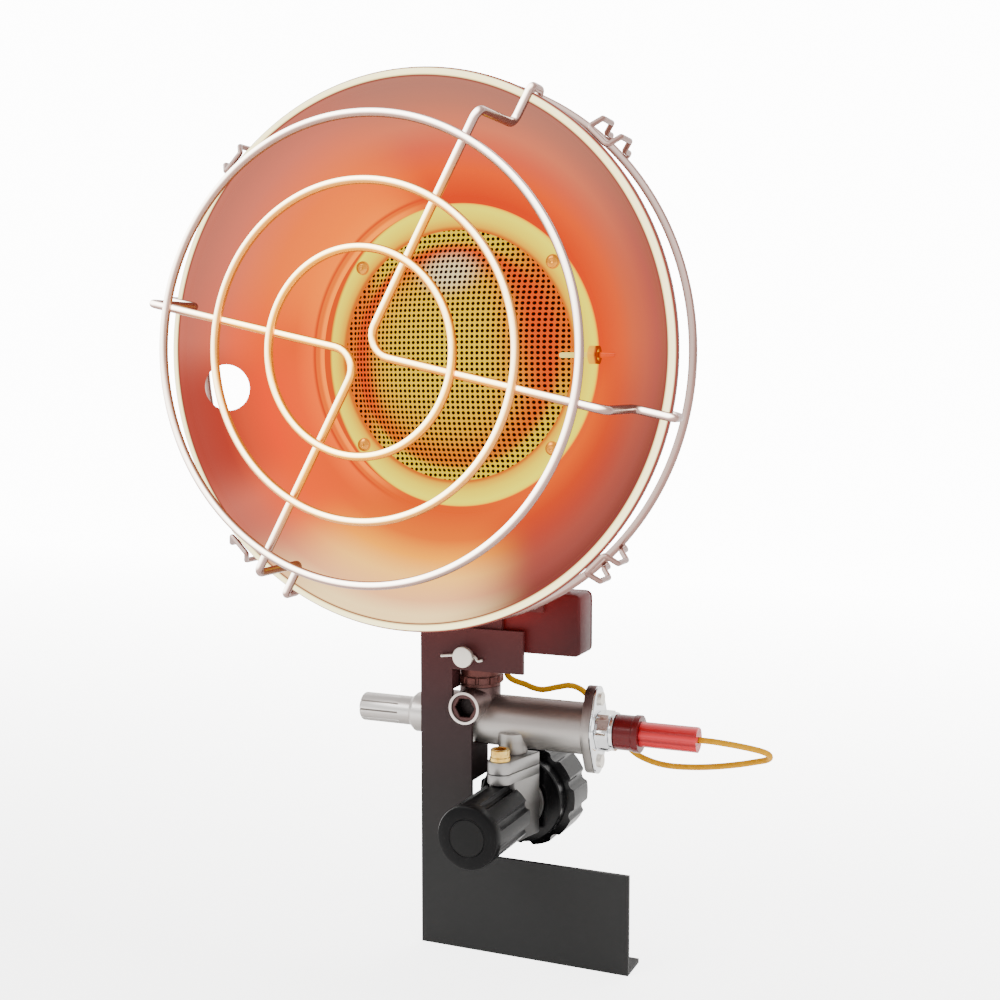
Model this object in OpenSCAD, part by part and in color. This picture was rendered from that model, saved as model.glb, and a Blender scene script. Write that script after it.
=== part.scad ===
// Tank-top radiant propane heater: reflector and burner head, wire guards,
// steel support bracket, tip-over switch, flame-failure valve and regulator.
// Millimetres. X to the right, Y backwards, Z up. The origin is on the inlet
// axis, in the plane of the coupling nut's rear face.

/* [Head] */
// Outer radius of the reflector's rolled rim
rim_r = 120; // [112:1:128]
// Radius of the roll in the rim
rim_roll_r = 3; // [2:0.5:4]
// Depth of the bowl from the rim plane to the burner recess
bowl_depth = 50.3; // [44:0.1:54]
// Gap between the clamping ring and the recess's wall
recess_gap = 3; // [1.5:0.5:5]
// How far the bowl's wall bulges from a straight cone
bowl_bulge = 2.5; // [0:0.5:5]
// Sheet thickness of the reflector
sheet_t = 1; // [0.6:0.1:1.2]
// Distance of the head's axis to the left of the inlet axis
head_left = 20.5; // [16:0.5:22]
// Height of the head's axis above the inlet axis
head_z = 214.5; // [212:0.5:225]
// Radius of the lighting hole in the bowl
light_hole_r = 10.8; // [6:0.5:12]
// Place of the lighting hole, as an angle on the bowl
light_hole_angle = 188; // [180:1:200]
// Distance of the lighting hole from the head's axis
light_hole_at_r = 101.8; // [96:0.2:104]

/* [Burner] */
// How far the clamping ring stands out beyond the cup
clamp_out = 11.5; // [10:0.5:12.5]
// How far the clamping ring covers the cup's mouth
clamp_in = 0.6; // [0:0.2:2]
// Thickness of the clamping ring
clamp_t = 1.2; // [0.8:0.1:1.6]
// Height of the perforated dome
dome_rise = 13; // [6:0.5:16]
// Sheet thickness of the perforated dome
dome_t = 0.8; // [0.5:0.1:0.9]
// Depth of the burner cup
cup_depth = 11; // [9:0.5:11.5]
// Outer radius of the burner cup
cup_r = 58; // [52:0.2:64]
// Distance of the clamping screws outside the cup
screw_out = 5.4; // [5:0.1:6]
// Half angle between the upper and the side screws
screw_angle = 41; // [35:1:50]
// Outer radius of the mixing tube
tube_r = 10; // [8.8:0.2:10.2]
// Distance from the valve's axis forwards to the cup's back
tube_run = 12.8; // [12.2:0.1:15]
// Wall of the mixing tube
tube_wall = 1.2; // [0.8:0.1:1.5]

/* [Guard] */
// Diameter of the guard wire
wire_d = 3.6; // [3:0.1:4]
// Distance of the outer guard ring inside the turn of the legs
outer_ring_in = 11.7; // [8:0.1:16]
// Radius of the middle guard ring
ring_middle_r = 67.9; // [60:0.2:75]
// Radius of the inner guard ring
ring_inner_r = 41.6; // [35:0.2:50]
// Distance from the rim plane forwards to the guard rings
guard_front = 40.5; // [30:0.5:50]
// Distance of the legs from the head's axis where they turn back
leg_r = 105.5; // [103:0.5:108]
// Distance from the rim plane backwards to the rear guard ring
rear_ring_back = 26; // [24:0.5:32]
// Diameter of the clip wire
clip_d = 2.4; // [2:0.1:2.6]

/* [Bracket] */
// Sheet thickness of the support bracket
plate_t = 2; // [1.5:0.1:2]
// Distance from the inlet plane forwards to the bracket's front face
plate_front = 46; // [45:0.1:46]
// Left edge of the bracket, from the inlet axis
plate_left = 45; // [42:0.5:50]
// Right edge of the foot, from the inlet axis
foot_right = 61; // [50:0.5:70]
// Height of the foot plate
foot_h = 47.5; // [30:0.5:60]
// Depth of the foot's underside below the inlet axis
foot_drop = 71.5; // [60:0.5:80]
// How far the foot's lip runs backwards
lip_depth = 17; // [8:0.5:20]
// Top edge of the bracket, above the inlet axis
plate_top = 86; // [84:0.5:90]
// Height of the ear
ear_h = 20.4; // [18:0.2:22]
// Right edge of the ear, from the inlet axis
ear_right = 8.3; // [2:0.1:12]

/* [Flame-failure valve] */
// Distance from the inlet plane forwards to the valve's axis
valve_front = 30; // [30:0.2:31]
// Height of the valve's axis above the inlet axis
valve_z = 39; // [39:0.5:42]
// Outer radius of the valve's barrel
barrel_r = 12.3; // [11.5:0.1:12.6]
// Left end of the barrel, from the inlet axis
barrel_left = 40; // [38:0.5:40]
// Right face of the barrel's flange, from the inlet axis
barrel_right = 39.8; // [37:0.2:42]
// Radius of the push button
button_r = 7.1; // [6:0.1:7.4]
// How far the button travels
button_travel = 6; // [3:0.5:7]
// Radius of the button's guide collar
collar_r = 9.8; // [9.4:0.1:11]
// Diameter of the insulated lead
lead_d = 2.9; // [2.5:0.1:3]

/* [Regulator] */
// Radius of the control knob
knob_r = 14.7; // [12:0.1:16]
// Length of the control knob
knob_len = 40.5; // [34:0.5:40.5]
// Distance from the inlet plane forwards to the knob's face
knob_front = 92; // [91:0.5:94]
// Half width of the regulator at its back
block_half_w = 11.3; // [9.5:0.1:12]
// Height of the regulator's top above the inlet axis
block_top = 26; // [25.9:0.1:26.1]
// Depth of the regulator's underside below the inlet axis
block_drop = 14; // [12:0.5:16]
// Outer radius of the coupling nut
nut_r = 25; // [23:0.5:26]
// Length of the coupling nut
nut_len = 28; // [26:0.5:28]
// Radius of the nut's threaded mouth
nut_mouth_r = 16.6; // [15:0.1:18]
// Outer radius of the inlet nipple's nose
nipple_r = 6; // [5:0.1:7]

/* [Tip-over switch] */
// Width of the switch housing
switch_w = 38.5; // [32:0.5:40]
// Height of the switch housing
switch_h = 29.5; // [26:0.1:31]
// Depth of the switch housing
switch_depth = 17.3; // [15:0.1:19]
// Swing of the tilt pendulum to each side
tilt_swing = 25; // [10:1:26]

/* [Hidden] */
$fn = 72;

// Clearances shared by the fits
run_gap = 0.06;
seat_gap = 0.1;
side_gap = 0.3;
over = 1;

// Places along the head's axis, measured backwards from the rim plane
ledge_step = 1.7;
clamp_d0 = bowl_depth + ledge_step;
floor_d = clamp_d0 + clamp_t;
gasket_t = 0.8;
floor_back = floor_d + sheet_t;
cup_front = floor_back + gasket_t;
cup_wall = 1.2;
cup_back = cup_front + cup_depth + cup_wall;
rim_front = valve_front + cup_back + tube_run;
floor_ledge = 2.9;
clamp_r = cup_r + clamp_out;
clamp_hole_r = cup_r - clamp_in;
screw_circle_r = cup_r + screw_out;
recess_r = clamp_r + recess_gap;
floor_hole_r = screw_circle_r - floor_ledge;
flange_inset = 1.8;
cup_flange_r = clamp_r - flange_inset;
screw_hole_r = 1.7;
screw_shank_r = 1.55;
screw_head_r = 3.4;
screw_head_h = 2;
screw_len = floor_back + gasket_t + 2 * cup_wall + over - clamp_d0;

// The bowl's generating line, from the rim roll to the recess
bowl_start = [rim_r - 1.7 * rim_roll_r, 1.1 * rim_roll_r];
bowl_end = [recess_r, bowl_depth];
bowl_dir = (bowl_end - bowl_start) / norm(bowl_end - bowl_start);
bowl_out = [bowl_dir[1], -bowl_dir[0]];
bowl_steps = 12;
function bowl_at(k) = bowl_start + k * (bowl_end - bowl_start) + 4 * k * (1 - k) * bowl_bulge * bowl_out;
function bowl_share_at_r(r) = (bowl_start[0] - r) / (bowl_start[0] - bowl_end[0]);

// The thermocouple's line through the bowl's wall
probe_before_floor = 5;
probe_d = bowl_depth - probe_before_floor;
probe_rod_r = 1.2;
probe_collar_r = 2.6;
probe_reach = 18.5;
probe_tip_r = recess_r - probe_reach;
probe_nut_r = 4.6;
probe_nut_t = 4;
probe_nut_in = 4.5;
probe_nut_at = recess_r - probe_nut_in;
probe_nut_clear = 2.2;
probe_wall_share = (probe_d - probe_nut_r - bowl_start[1]) / (bowl_end[1] - bowl_start[1]);
probe_outer_nut = bowl_at(probe_wall_share)[0] + probe_nut_clear;
probe_end_r = probe_outer_nut + 1.7 * probe_nut_t;

// Heights and places around the mixing tube
tube_y = -valve_front;
outlet_neck = 4.4;
outlet_top = valve_z + barrel_r + outlet_neck;
outlet_r = tube_r - tube_wall - side_gap;
tube_bottom = outlet_top + seat_gap;
elbow_more = 2;
elbow_r = tube_r + elbow_more;
tube_end_y = -rim_front + cup_back - cup_wall - over;
air_hole_r = 3.2;

// Support bracket
plate_y = -plate_front;
plate_back = plate_y + plate_t;
cut_upper_x = -28.3;
cut_lower_x = -18.2;
cut_step_z = 46.5;
cut_top_z = plate_top - ear_h;
foot_top_z = foot_h - foot_drop;
tab_depth = 20;
tab_bottom_z = 11.5;
upper_tab_depth = 9.5;
upper_tab_h = 10;
pin_z = 72.8;
pin_r = 3.4;
pin_head_r = 5.05;
pin_head_t = 2.6;
pin_neck = 3.2;
cotter_d = 1.5;

// Head bracket, the strap that carries the head and the switch
strap_half_w = 17.3;
strap_t = 2;
strap_bottom_z = 67;
strap_y = plate_back + seat_gap;
wing_right = 17.6;
wing_bottom_z = 95.5;
wing_top_z = 107;

// Switch housing
switch_left = -3.2;
switch_bottom = 75.1;
switch_y = strap_y + strap_t + seat_gap;
switch_wall = 1.6;
switch_corner_r = 3;
switch_mid_x = switch_left + switch_w / 2;
tilt_drop = 11;
tilt_z = switch_bottom + switch_h - tilt_drop;
left_screw_in = 5;
right_screw_in = 4;
switch_screw_xs = [switch_left + left_screw_in, wing_right - right_screw_in];
switch_screw_z = (wing_bottom_z + switch_bottom + switch_h) / 2;
tilt_pin_r = 1.5;
tilt_arm_len = 10;
bob_r = 3.6;
bob_t = 7;
terminal_w = 5;
terminal_t = 1;
terminal_len = 10;
terminal_out = 6;
terminal_x = 2;
terminal_z = 82;
switch_back = switch_y + switch_depth;
probe_lead_x = 26;
probe_lead_y = -33.5;

// Flame-failure valve, along X from left to right
bore_r = 8;
stem_r = 2;
collar_len = 16.4;
collar_left = barrel_left + collar_len;
collar_bevel = 2.5;
clamp_tab_t = 2;
neck_r = 7.9;
neck_len = 8.5;
neck_bore_r = 6.4;
button_out = 28;
button_in = 7;
button_left = collar_left + button_out;
boss_r = 7.8;
boss_rise = 8.8;
boss_z = valve_z + boss_rise;
boss_front = 49;
boss_lip = 1.2;
hex_r = 5;
oval_half_h = 21;
oval_half_w = barrel_r + side_gap;
oval_lobe_r = 6.5;
oval_t = 4.6;
end_plate_t = 1.3;
oval_right = barrel_right;
oval_left = barrel_right - oval_t;
plate_right = oval_right + end_plate_t;
magnet_nut_r = 10.2;
magnet_nut_len = 8.7;
dark_r = 8.8;
dark_len = 12;
red_r = 6.1;
red_len = 27.2;
nut_end = plate_right + magnet_nut_len;
dark_end = nut_end + dark_len;
red_end = dark_end + red_len;
magnet_r = bore_r - side_gap;
disc_r = 6.4;
disc_t = 2.5;
disc_gap = 0.6;
port_r = 4.5;
inlet_boss_r = 7;
inlet_boss_y = -38;
seat_right = 18;
seat_x = -head_left + seat_right;
disc_left = seat_x + seat_gap;
magnet_left = disc_left + disc_t + button_travel + disc_gap;
spring_wire = 0.9;
spring_side = 0.8;
spring_coil_r = neck_bore_r - spring_side;
spring_bore_d = 10;
spring_turns = 5;

// Regulator
plug_y = -53.5;
front_boss_r = 6;
block_back_y = -31;
cover_t = 6.2;
cover_bottom = block_top - cover_t;
hub_r = 13;
hub_gap = 1.5;
hub_back = nut_len + hub_gap;
spindle_r = 3.2;
knob_back = knob_front - knob_len;
chin_gap = 0.4;
chin_z = knob_r + chin_gap;
chin_y = -knob_back + chin_gap;
spindle_boss_r = 7.6;
spindle_boss_len = 10;
spindle_in = 4;
diaphragm_r = 8.6;
diaphragm_t = 0.8;
plug_r = 4.9;
plug_stem_r = 3;
plug_h = 5.5;
plug_hex_r = 3.2;
gas_bore_r = 2;
cap_r = 8.4;
cap_t = 1.2;

// Coupling
nut_web_t = 6;
shank_r = 7.5;
circlip_t = 1.2;
circlip_r = 10.5;
nose_out = 4;
lobes = 10;
lobe_r = 3;
lobe_out = 1.05;
groove_d = 1;
lobe_len = 20.2;
nut_step = 4;
seal_in_r = 3;
seal_out_r = 4.6;
seal_t = 1.2;

// Helpers: axes, rods and swept wires
module along_x(x0, x1, r) translate([x0, 0, 0]) rotate([0, 90, 0]) cylinder(h = x1 - x0, r = r);
module along_y(y0, y1, r) translate([0, y0, 0]) rotate([-90, 0, 0]) cylinder(h = y1 - y0, r = r);
module on_head() translate([-head_left, -rim_front, head_z]) rotate([-90, 0, 0]) children();
module on_valve() translate([0, -valve_front, valve_z]) children();
module ring(r0, r1, h) difference() {
    cylinder(h = h, r = r1);
    translate([0, 0, -over]) cylinder(h = h + 2 * over, r = r0);
}
module at_screws() for (a = [screw_angle, 180 - screw_angle, 180 + screw_angle, -screw_angle])
    rotate([0, 0, -a]) translate([screw_circle_r, 0, 0]) children();
module hex_prism(x0, x1, r) translate([x0, 0, 0]) rotate([0, 90, 0]) cylinder(h = x1 - x0, r = r, $fn = 6);

function unit(v) = v / norm(v);
function arc_points(a, b, c, r, n) =
    let (u = unit(a - b), v = unit(c - b), w = acos(min(1, max(-1, u * v))))
    let (centre = b + unit(u + v) * r / sin(w / 2), t = r / tan(w / 2), turn = 180 - w)
    let (s = b + u * t - centre, e = b + v * t - centre)
    [for (i = [0:n]) let (k = i / n) centre + (sin((1 - k) * turn) * s + sin(k * turn) * e) / sin(turn)];
function rounded(p, r, n) = concat([p[0]],
    [for (i = [1:len(p) - 2]) each arc_points(p[i - 1], p[i], p[i + 1], r, n)], [p[len(p) - 1]]);
function tangents(p) = [for (i = [0:len(p) - 1]) unit(p[min(i + 1, len(p) - 1)] - p[max(i - 1, 0)])];
upright = 0.9;
function first_side(t) = unit(abs(t[2]) < upright ? cross(t, [0, 0, 1]) : cross(t, [1, 0, 0]));
function sides(t) = [for (i = 0, u = first_side(t[0]); i < len(t);
    i = i + 1, u = i < len(t) ? unit(u - (u * t[i]) * t[i]) : u) u];

// A round wire of radius r carried along the points p, closed at both ends
module wire(p, r, n) {
    t = tangents(p);
    u = sides(t);
    last = len(p) - 1;
    points = [for (i = [0:last], k = [0:n - 1])
        p[i] + r * (cos(360 * k / n) * u[i] + sin(360 * k / n) * cross(t[i], u[i]))];
    walls = [for (i = [0:last - 1], k = [0:n - 1]) let (m = (k + 1) % n)
        each [[i * n + k, i * n + m, (i + 1) * n + m], [i * n + k, (i + 1) * n + m, (i + 1) * n + k]]];
    caps = [[for (k = [0:n - 1]) n - 1 - k], [for (k = [0:n - 1]) last * n + k]];
    polyhedron(points = points, faces = [for (f = concat(walls, caps)) [for (i = [len(f) - 1:-1:0]) f[i]]]);
}

// Head
module reflector() color([0.93, 0.85, 0.78]) on_head() difference() {
    union() {
        rotate_extrude($fn = 128) translate([rim_r - rim_roll_r, rim_roll_r]) circle(r = rim_roll_r, $fn = 32);
        rotate_extrude($fn = 128) polygon(concat([for (i = [0:bowl_steps]) bowl_at(i / bowl_steps)],
            [[recess_r, floor_d], [floor_hole_r, floor_d], [floor_hole_r, floor_back],
            [recess_r + sheet_t, floor_back]],
            [for (i = [bowl_steps:-1:0]) bowl_at(i / bowl_steps) + sheet_t * bowl_out]));
    }
    hole_at = bowl_at(bowl_share_at_r(light_hole_at_r));
    rotate([0, 0, -light_hole_angle]) translate([hole_at[0], 0, hole_at[1]])
        rotate([0, atan2(bowl_out[0], bowl_out[1]), 0])
        cylinder(h = 2 * light_hole_r, r = light_hole_r, center = true);
    translate([recess_r - over, 0, probe_d]) rotate([0, 90, 0])
        cylinder(h = probe_end_r - recess_r, r = probe_collar_r + seat_gap);
    translate([0, 0, floor_d - over]) at_screws() cylinder(h = sheet_t + 2 * over, r = screw_hole_r);
}

module gasket() color([0.85, 0.83, 0.78]) on_head() difference() {
    translate([0, 0, floor_back]) ring(cup_r - cup_wall, cup_flange_r, gasket_t);
    translate([0, 0, floor_back - over]) at_screws() cylinder(h = gasket_t + 2 * over, r = screw_hole_r);
}

module burner_cup() color([0.55, 0.5, 0.48]) on_head() difference() {
    union() {
        translate([0, 0, cup_front]) ring(cup_r - cup_wall, cup_flange_r, cup_wall);
        translate([0, 0, cup_front]) ring(cup_r - cup_wall, cup_r, cup_back - cup_front);
        translate([0, 0, cup_back - cup_wall]) ring(tube_r + seat_gap, cup_r, cup_wall);
    }
    translate([0, 0, cup_front - over]) at_screws() cylinder(h = cup_wall + 2 * over, r = screw_hole_r);
}

module clamping_ring() color([1, 0.9, 0.4]) on_head() difference() {
    translate([0, 0, clamp_d0]) ring(clamp_hole_r, clamp_r, clamp_t);
    translate([0, 0, clamp_d0 - over]) at_screws() cylinder(h = clamp_t + 2 * over, r = screw_hole_r);
}

// The dome rises as one less the cube of its relative radius
dome_lip = 3.4;
dome_r = clamp_hole_r - dome_lip;
lip_r = floor_hole_r - side_gap;
dome_steps = 14;
function dome_at(r) = floor_d - dome_rise * (1 - pow(r / dome_r, 3));
module burner_screen() color([1, 0.75, 0.1]) on_head() rotate_extrude($fn = 96) polygon(concat(
    [for (i = [0:dome_steps]) let (r = dome_r * i / dome_steps) [r, dome_at(r)]],
    [[lip_r, floor_d], [lip_r, floor_d + dome_t]],
    [for (i = [dome_steps:-1:0]) let (r = dome_r * i / dome_steps) [r, dome_at(r) + dome_t]]));

diffuser_r = 40;
diffuser_in = 5;
diffuser_d = cup_front + diffuser_in;
diffuser_t = 1;
arm_w = 10;
module diffuser() color([0.5, 0.45, 0.42]) on_head() translate([0, 0, diffuser_d]) intersection() {
    cylinder(h = diffuser_t, r = cup_r - cup_wall - seat_gap);
    union() {
        cylinder(h = diffuser_t, r = diffuser_r);
        for (a = [0:120:240]) rotate([0, 0, a]) translate([0, -arm_w / 2, 0]) cube([cup_r, arm_w, diffuser_t]);
    }
}

module clamp_screws() color([0.95, 0.85, 0.6]) on_head() translate([0, 0, clamp_d0]) at_screws() {
    cylinder(h = screw_len, r = screw_shank_r);
    translate([0, 0, -screw_head_h]) intersection() {
        cylinder(h = screw_head_h, r = screw_head_r);
        translate([0, 0, 2 * screw_head_h]) sphere(r = 2 * screw_head_h);
    }
}

module tube_path(r) translate([-head_left, tube_y, 0]) {
    translate([0, 0, tube_bottom]) cylinder(h = head_z - elbow_r - tube_bottom, r = r);
    translate([0, -elbow_r, head_z - elbow_r]) rotate([90, 0, 90]) rotate_extrude(angle = 90)
        translate([elbow_r, 0]) circle(r = r);
    translate([0, 0, head_z]) along_y(tube_end_y - tube_y, -elbow_r, r);
}

module mixing_tube() color([0.32, 0.2, 0.18]) difference() {
    tube_path(tube_r);
    tube_path(tube_r - tube_wall);
    translate([-head_left, tube_y, tube_bottom - over]) cylinder(h = 2 * over, r = tube_r - tube_wall);
    translate([-head_left, tube_end_y - over, head_z]) rotate([-90, 0, 0])
        cylinder(h = 2 * over, r = tube_r - tube_wall);
    for (a = [45:90:315]) translate([-head_left, tube_y, tube_bottom + 5 * air_hole_r]) rotate([0, 90, a])
        cylinder(h = 2 * tube_r, r = air_hole_r);
}

holder_h = 8;
jet_r = 2.6;
jet_h = 5;
jet_bore_r = 0.6;
module orifice_holder() color([0.8, 0.62, 0.3]) translate([-head_left, tube_y, outlet_top]) difference() {
    cylinder(h = holder_h, r = outlet_r);
    translate([0, 0, -over]) cylinder(h = holder_h + 2 * over, r = gas_bore_r);
    translate([0, 0, holder_h - jet_h / 2]) cylinder(h = jet_h, r = jet_r + seat_gap);
}

module gas_orifice() color([0.85, 0.68, 0.35])
    translate([-head_left, tube_y, outlet_top + holder_h - jet_h / 2]) ring(jet_bore_r, jet_r, jet_h);

module thermocouple() color([0.9, 0.8, 0.5]) on_head() translate([0, 0, probe_d]) {
    along_x(probe_tip_r, probe_nut_at, probe_rod_r);
    along_x(probe_nut_at - over, probe_end_r, probe_collar_r);
}

module thermocouple_nuts() color([0.85, 0.65, 0.2]) on_head() translate([0, 0, probe_d])
    for (x = [probe_nut_at, probe_outer_nut]) difference() {
        hex_prism(x, x + probe_nut_t, probe_nut_r);
        along_x(x - over, x + probe_nut_t + over, probe_collar_r + run_gap);
    }

// The probe's copper lead is clipped behind the bowl and runs down to the switch
probe_lead_d = 2;
probe_lead_bend_r = 6;
probe_end = [probe_end_r + seat_gap - head_left, probe_d - rim_front, head_z];
probe_lead_starts = [[0, 0, 0], [6, 0, -1], [8, 9, -8]];
probe_lead_rest = [[66, -42, 190], [56, -36, 168], [44, -34, 146], [34, -33.5, 128], [27, -33.5, 116],
    [26, -33.5, 103.4]];
probe_lead_route = concat([for (q = probe_lead_starts) probe_end + q], probe_lead_rest);
module thermocouple_lead() color([0.72, 0.42, 0.25])
    wire(rounded(probe_lead_route, probe_lead_bend_r, 3), probe_lead_d / 2, 8);

// Guards
module guard_ring(r) on_head() translate([0, 0, -guard_front]) rotate_extrude($fn = 128)
    translate([r, 0]) circle(r = wire_d / 2, $fn = 24);
module guard_ring_outer() color([0.95, 0.9, 0.85]) guard_ring(ring_outer_r);
module guard_ring_middle() color([0.95, 0.9, 0.85]) guard_ring(ring_middle_r);
module guard_ring_inner() color([0.95, 0.9, 0.85]) guard_ring(ring_inner_r);
module rear_guard_ring() color([0.8, 0.72, 0.7]) on_head() translate([0, 0, rear_ring_back])
    rotate_extrude($fn = 128) translate([ring_mid_r, 0]) circle(r = wire_d / 2, $fn = 24);

// Each guard wire is a rounded V welded behind the rings. Its two legs turn back to
// the rim, pass over the roll and hook behind it.
ring_outer_r = leg_r - outer_ring_in;
guard_d = -guard_front + wire_d;
leg_d = -wire_d / 2 - side_gap;
hook_r = rim_r + wire_d / 2 + side_gap;
hook_d = 2 * rim_roll_r + wire_d / 2 + side_gap;
hook_end_r = rim_r - rim_roll_r;
vee_offset = [0, 0.3];
left_leg_angle = 168;
lower_leg_angle = 241;
upper_leg_angle = 61;
right_leg_angle = -12.2;
vee_bend_r = 9;
leg_bend_r = 4;
bend_steps = 4;
wire_sides = 12;
function polar(r, a, d) = [r * cos(a), -r * sin(a), d];
function leg(a) = [polar(leg_r, a, guard_d), polar(leg_r, a, leg_d), polar(hook_r, a, leg_d),
    polar(hook_r, a, hook_d), polar(hook_end_r, a, hook_d)];
function reversed(p) = [for (i = [len(p) - 1:-1:0]) p[i]];
function vee(a, b, corner) = let (apex = [corner[0], -corner[1], guard_d])
    concat([polar(hook_end_r, a, hook_d)], rounded_leg(a, apex),
        arc_points(polar(leg_r, a, guard_d), apex, polar(leg_r, b, guard_d), vee_bend_r, 2 * bend_steps),
        reversed(rounded_leg(b, apex)), [polar(hook_end_r, b, hook_d)]);
function rounded_leg(a, apex) = let (q = concat(reversed(leg(a)), [apex])) [for (i = [1:len(q) - 2])
    each arc_points(q[i - 1], q[i], q[i + 1], i < 3 ? wire_d / 2 + side_gap : leg_bend_r, bend_steps)];
module guard_wire_left() color([0.95, 0.9, 0.85]) on_head()
    wire(vee(left_leg_angle, lower_leg_angle, -vee_offset), wire_d / 2, wire_sides);
module guard_wire_right() color([0.95, 0.9, 0.85]) on_head()
    wire(vee(upper_leg_angle, right_leg_angle, vee_offset), wire_d / 2, wire_sides);

// A clip is one wire: a bar along the outside of the roll and two prongs that
// stand out behind it and hook round the rear ring.
clip_half = 5.5;
clip_rise = 7;
ring_inset = 0.7;
ring_mid_r = rim_r - ring_inset;
prong_bends = [0.75, 0.3];
clip_bar_r = rim_r + clip_d / 2 + seat_gap;
clip_over_r = ring_mid_r + wire_d / 2 + clip_d / 2 + seat_gap;
clip_behind_d = rear_ring_back + wire_d / 2 + clip_d / 2 + seat_gap;
clip_prong = [[ring_mid_r - wire_d / 2, clip_behind_d], [clip_over_r, clip_behind_d],
    [clip_over_r, rear_ring_back - wire_d], [rim_r + clip_rise, prong_bends[0] * rear_ring_back],
    [rim_r + clip_rise, prong_bends[1] * rear_ring_back], [clip_bar_r, rim_roll_r - over]];
function clip_points() = concat([for (q = clip_prong) [q[0], -clip_half, q[1]]],
    [for (q = reversed(clip_prong)) [q[0], clip_half, q[1]]]);
module rim_clips() color([0.9, 0.84, 0.8]) on_head() for (a = [45:90:315]) rotate([0, 0, -a])
    wire(rounded(clip_points(), clip_d / 2 + seat_gap, 2), clip_d / 2, 8);

// Support bracket
module slab(x0, x1, y0, y1, z0, z1) translate([x0, y0, z0]) cube([x1 - x0, y1 - y0, z1 - z0]);
module support_bracket() color([0.3, 0.27, 0.27]) difference() {
    union() {
        slab(-plate_left, cut_lower_x, plate_y, plate_back, -foot_drop, cut_step_z);
        slab(-plate_left, cut_upper_x, plate_y, plate_back, -foot_drop, plate_top);
        slab(-plate_left, ear_right, plate_y, plate_back, cut_top_z, plate_top);
        slab(-plate_left, foot_right, plate_y, plate_back, -foot_drop, foot_top_z);
        slab(-plate_left, foot_right, plate_y, plate_y + lip_depth, -foot_drop, plate_t - foot_drop);
        slab(cut_lower_x - plate_t, cut_lower_x, plate_y, plate_y + tab_depth,
            tab_bottom_z, valve_z - collar_r);
        slab(cut_upper_x - plate_t, cut_upper_x, plate_y, plate_y + upper_tab_depth,
            cut_top_z - upper_tab_h, cut_top_z);
        slab(-barrel_left - seat_gap - clamp_tab_t, -barrel_left - seat_gap, plate_y, collar_r - valve_front,
            valve_z - barrel_r, valve_z + barrel_r);
    }
    on_valve() along_x(-barrel_left, 0, barrel_r + seat_gap);
    on_valve() along_x(-collar_left, 0, neck_r + seat_gap);
    translate([-head_left, 0, boss_z]) along_y(plate_y - over, 0, boss_r + side_gap);
    translate([-head_left, 0, pin_z]) along_y(plate_y - over, plate_back + over, pin_r + seat_gap);
}

// Head bracket: a strap behind the ear, cut to the burner cup, with a wing for the switch
strap_into_cup = 6;
module head_bracket() color([0.34, 0.14, 0.13]) difference() {
    union() {
        translate([-head_left - strap_half_w, strap_y, strap_bottom_z])
            cube([2 * strap_half_w, strap_t, head_z - cup_r - strap_bottom_z + strap_into_cup]);
        slab(-head_left, wing_right, strap_y, strap_y + strap_t, wing_bottom_z, wing_top_z);
    }
    on_head() cylinder(h = rim_front, r = cup_r + seat_gap);
    translate([-head_left, 0, pin_z]) along_y(strap_y - over, strap_y + strap_t + over, pin_r + seat_gap);
    for (x = switch_screw_xs) translate([x, 0, switch_screw_z])
        along_y(strap_y - over, strap_y + strap_t + over, switch_screw_r + seat_gap);
}

module clevis_pin() color([0.93, 0.9, 0.85]) translate([-head_left, 0, pin_z]) difference() {
    union() {
        along_y(plate_y - pin_neck - pin_head_t, plate_y - pin_neck, pin_head_r);
        along_y(plate_y - pin_neck, strap_y + strap_t + over, pin_r);
    }
    translate([-pin_r - over, plate_y - pin_neck / 2, 0]) rotate([0, 90, 0])
        cylinder(h = 2 * pin_r + 2 * over, r = cotter_d / 2 + seat_gap);
}

cotter_route = [[-12.8, 0, -0.9], [-8, 0, -0.3], [-4.6, 0, 0], [-3, 0, 0], [0, 0, 0], [3, 0, 0], [4.6, 0, 0],
    [6.4, 0, -1.9], [8.8, 0, -1.5]];
module cotter_pin() color([0.95, 0.9, 0.86]) translate([-head_left, plate_y - pin_neck / 2, pin_z])
    wire(cotter_route, cotter_d / 2, 8);

// Tip-over switch
switch_screw_r = 1.4;
module rounded_slab(w, h, t, r) {
    translate([r, 0, 0]) cube([w - 2 * r, t, h]);
    translate([0, 0, r]) cube([w, t, h - 2 * r]);
    for (x = [r, w - r], z = [r, h - r]) translate([x, 0, z]) along_y(0, t, r);
}
module switch_housing() color([0.4, 0.09, 0.09]) difference() {
    translate([switch_left, switch_y, switch_bottom])
        rounded_slab(switch_w, switch_h, switch_depth - switch_wall, switch_corner_r);
    translate([switch_left + switch_wall, switch_y + switch_wall, switch_bottom + switch_wall])
        rounded_slab(switch_w - 2 * switch_wall, switch_h - 2 * switch_wall, switch_depth, switch_corner_r / 2);
    for (x = switch_screw_xs) translate([x, 0, switch_screw_z])
        along_y(switch_y - over, switch_y + switch_wall + over, switch_screw_r + seat_gap);
    translate([switch_mid_x, 0, tilt_z]) along_y(switch_y - over, switch_back, tilt_pin_r + seat_gap);
    translate([probe_lead_x, probe_lead_y, switch_bottom + switch_h - 2 * switch_wall])
        cylinder(h = 4 * switch_wall, r = probe_lead_d / 2 + seat_gap);
}
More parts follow.
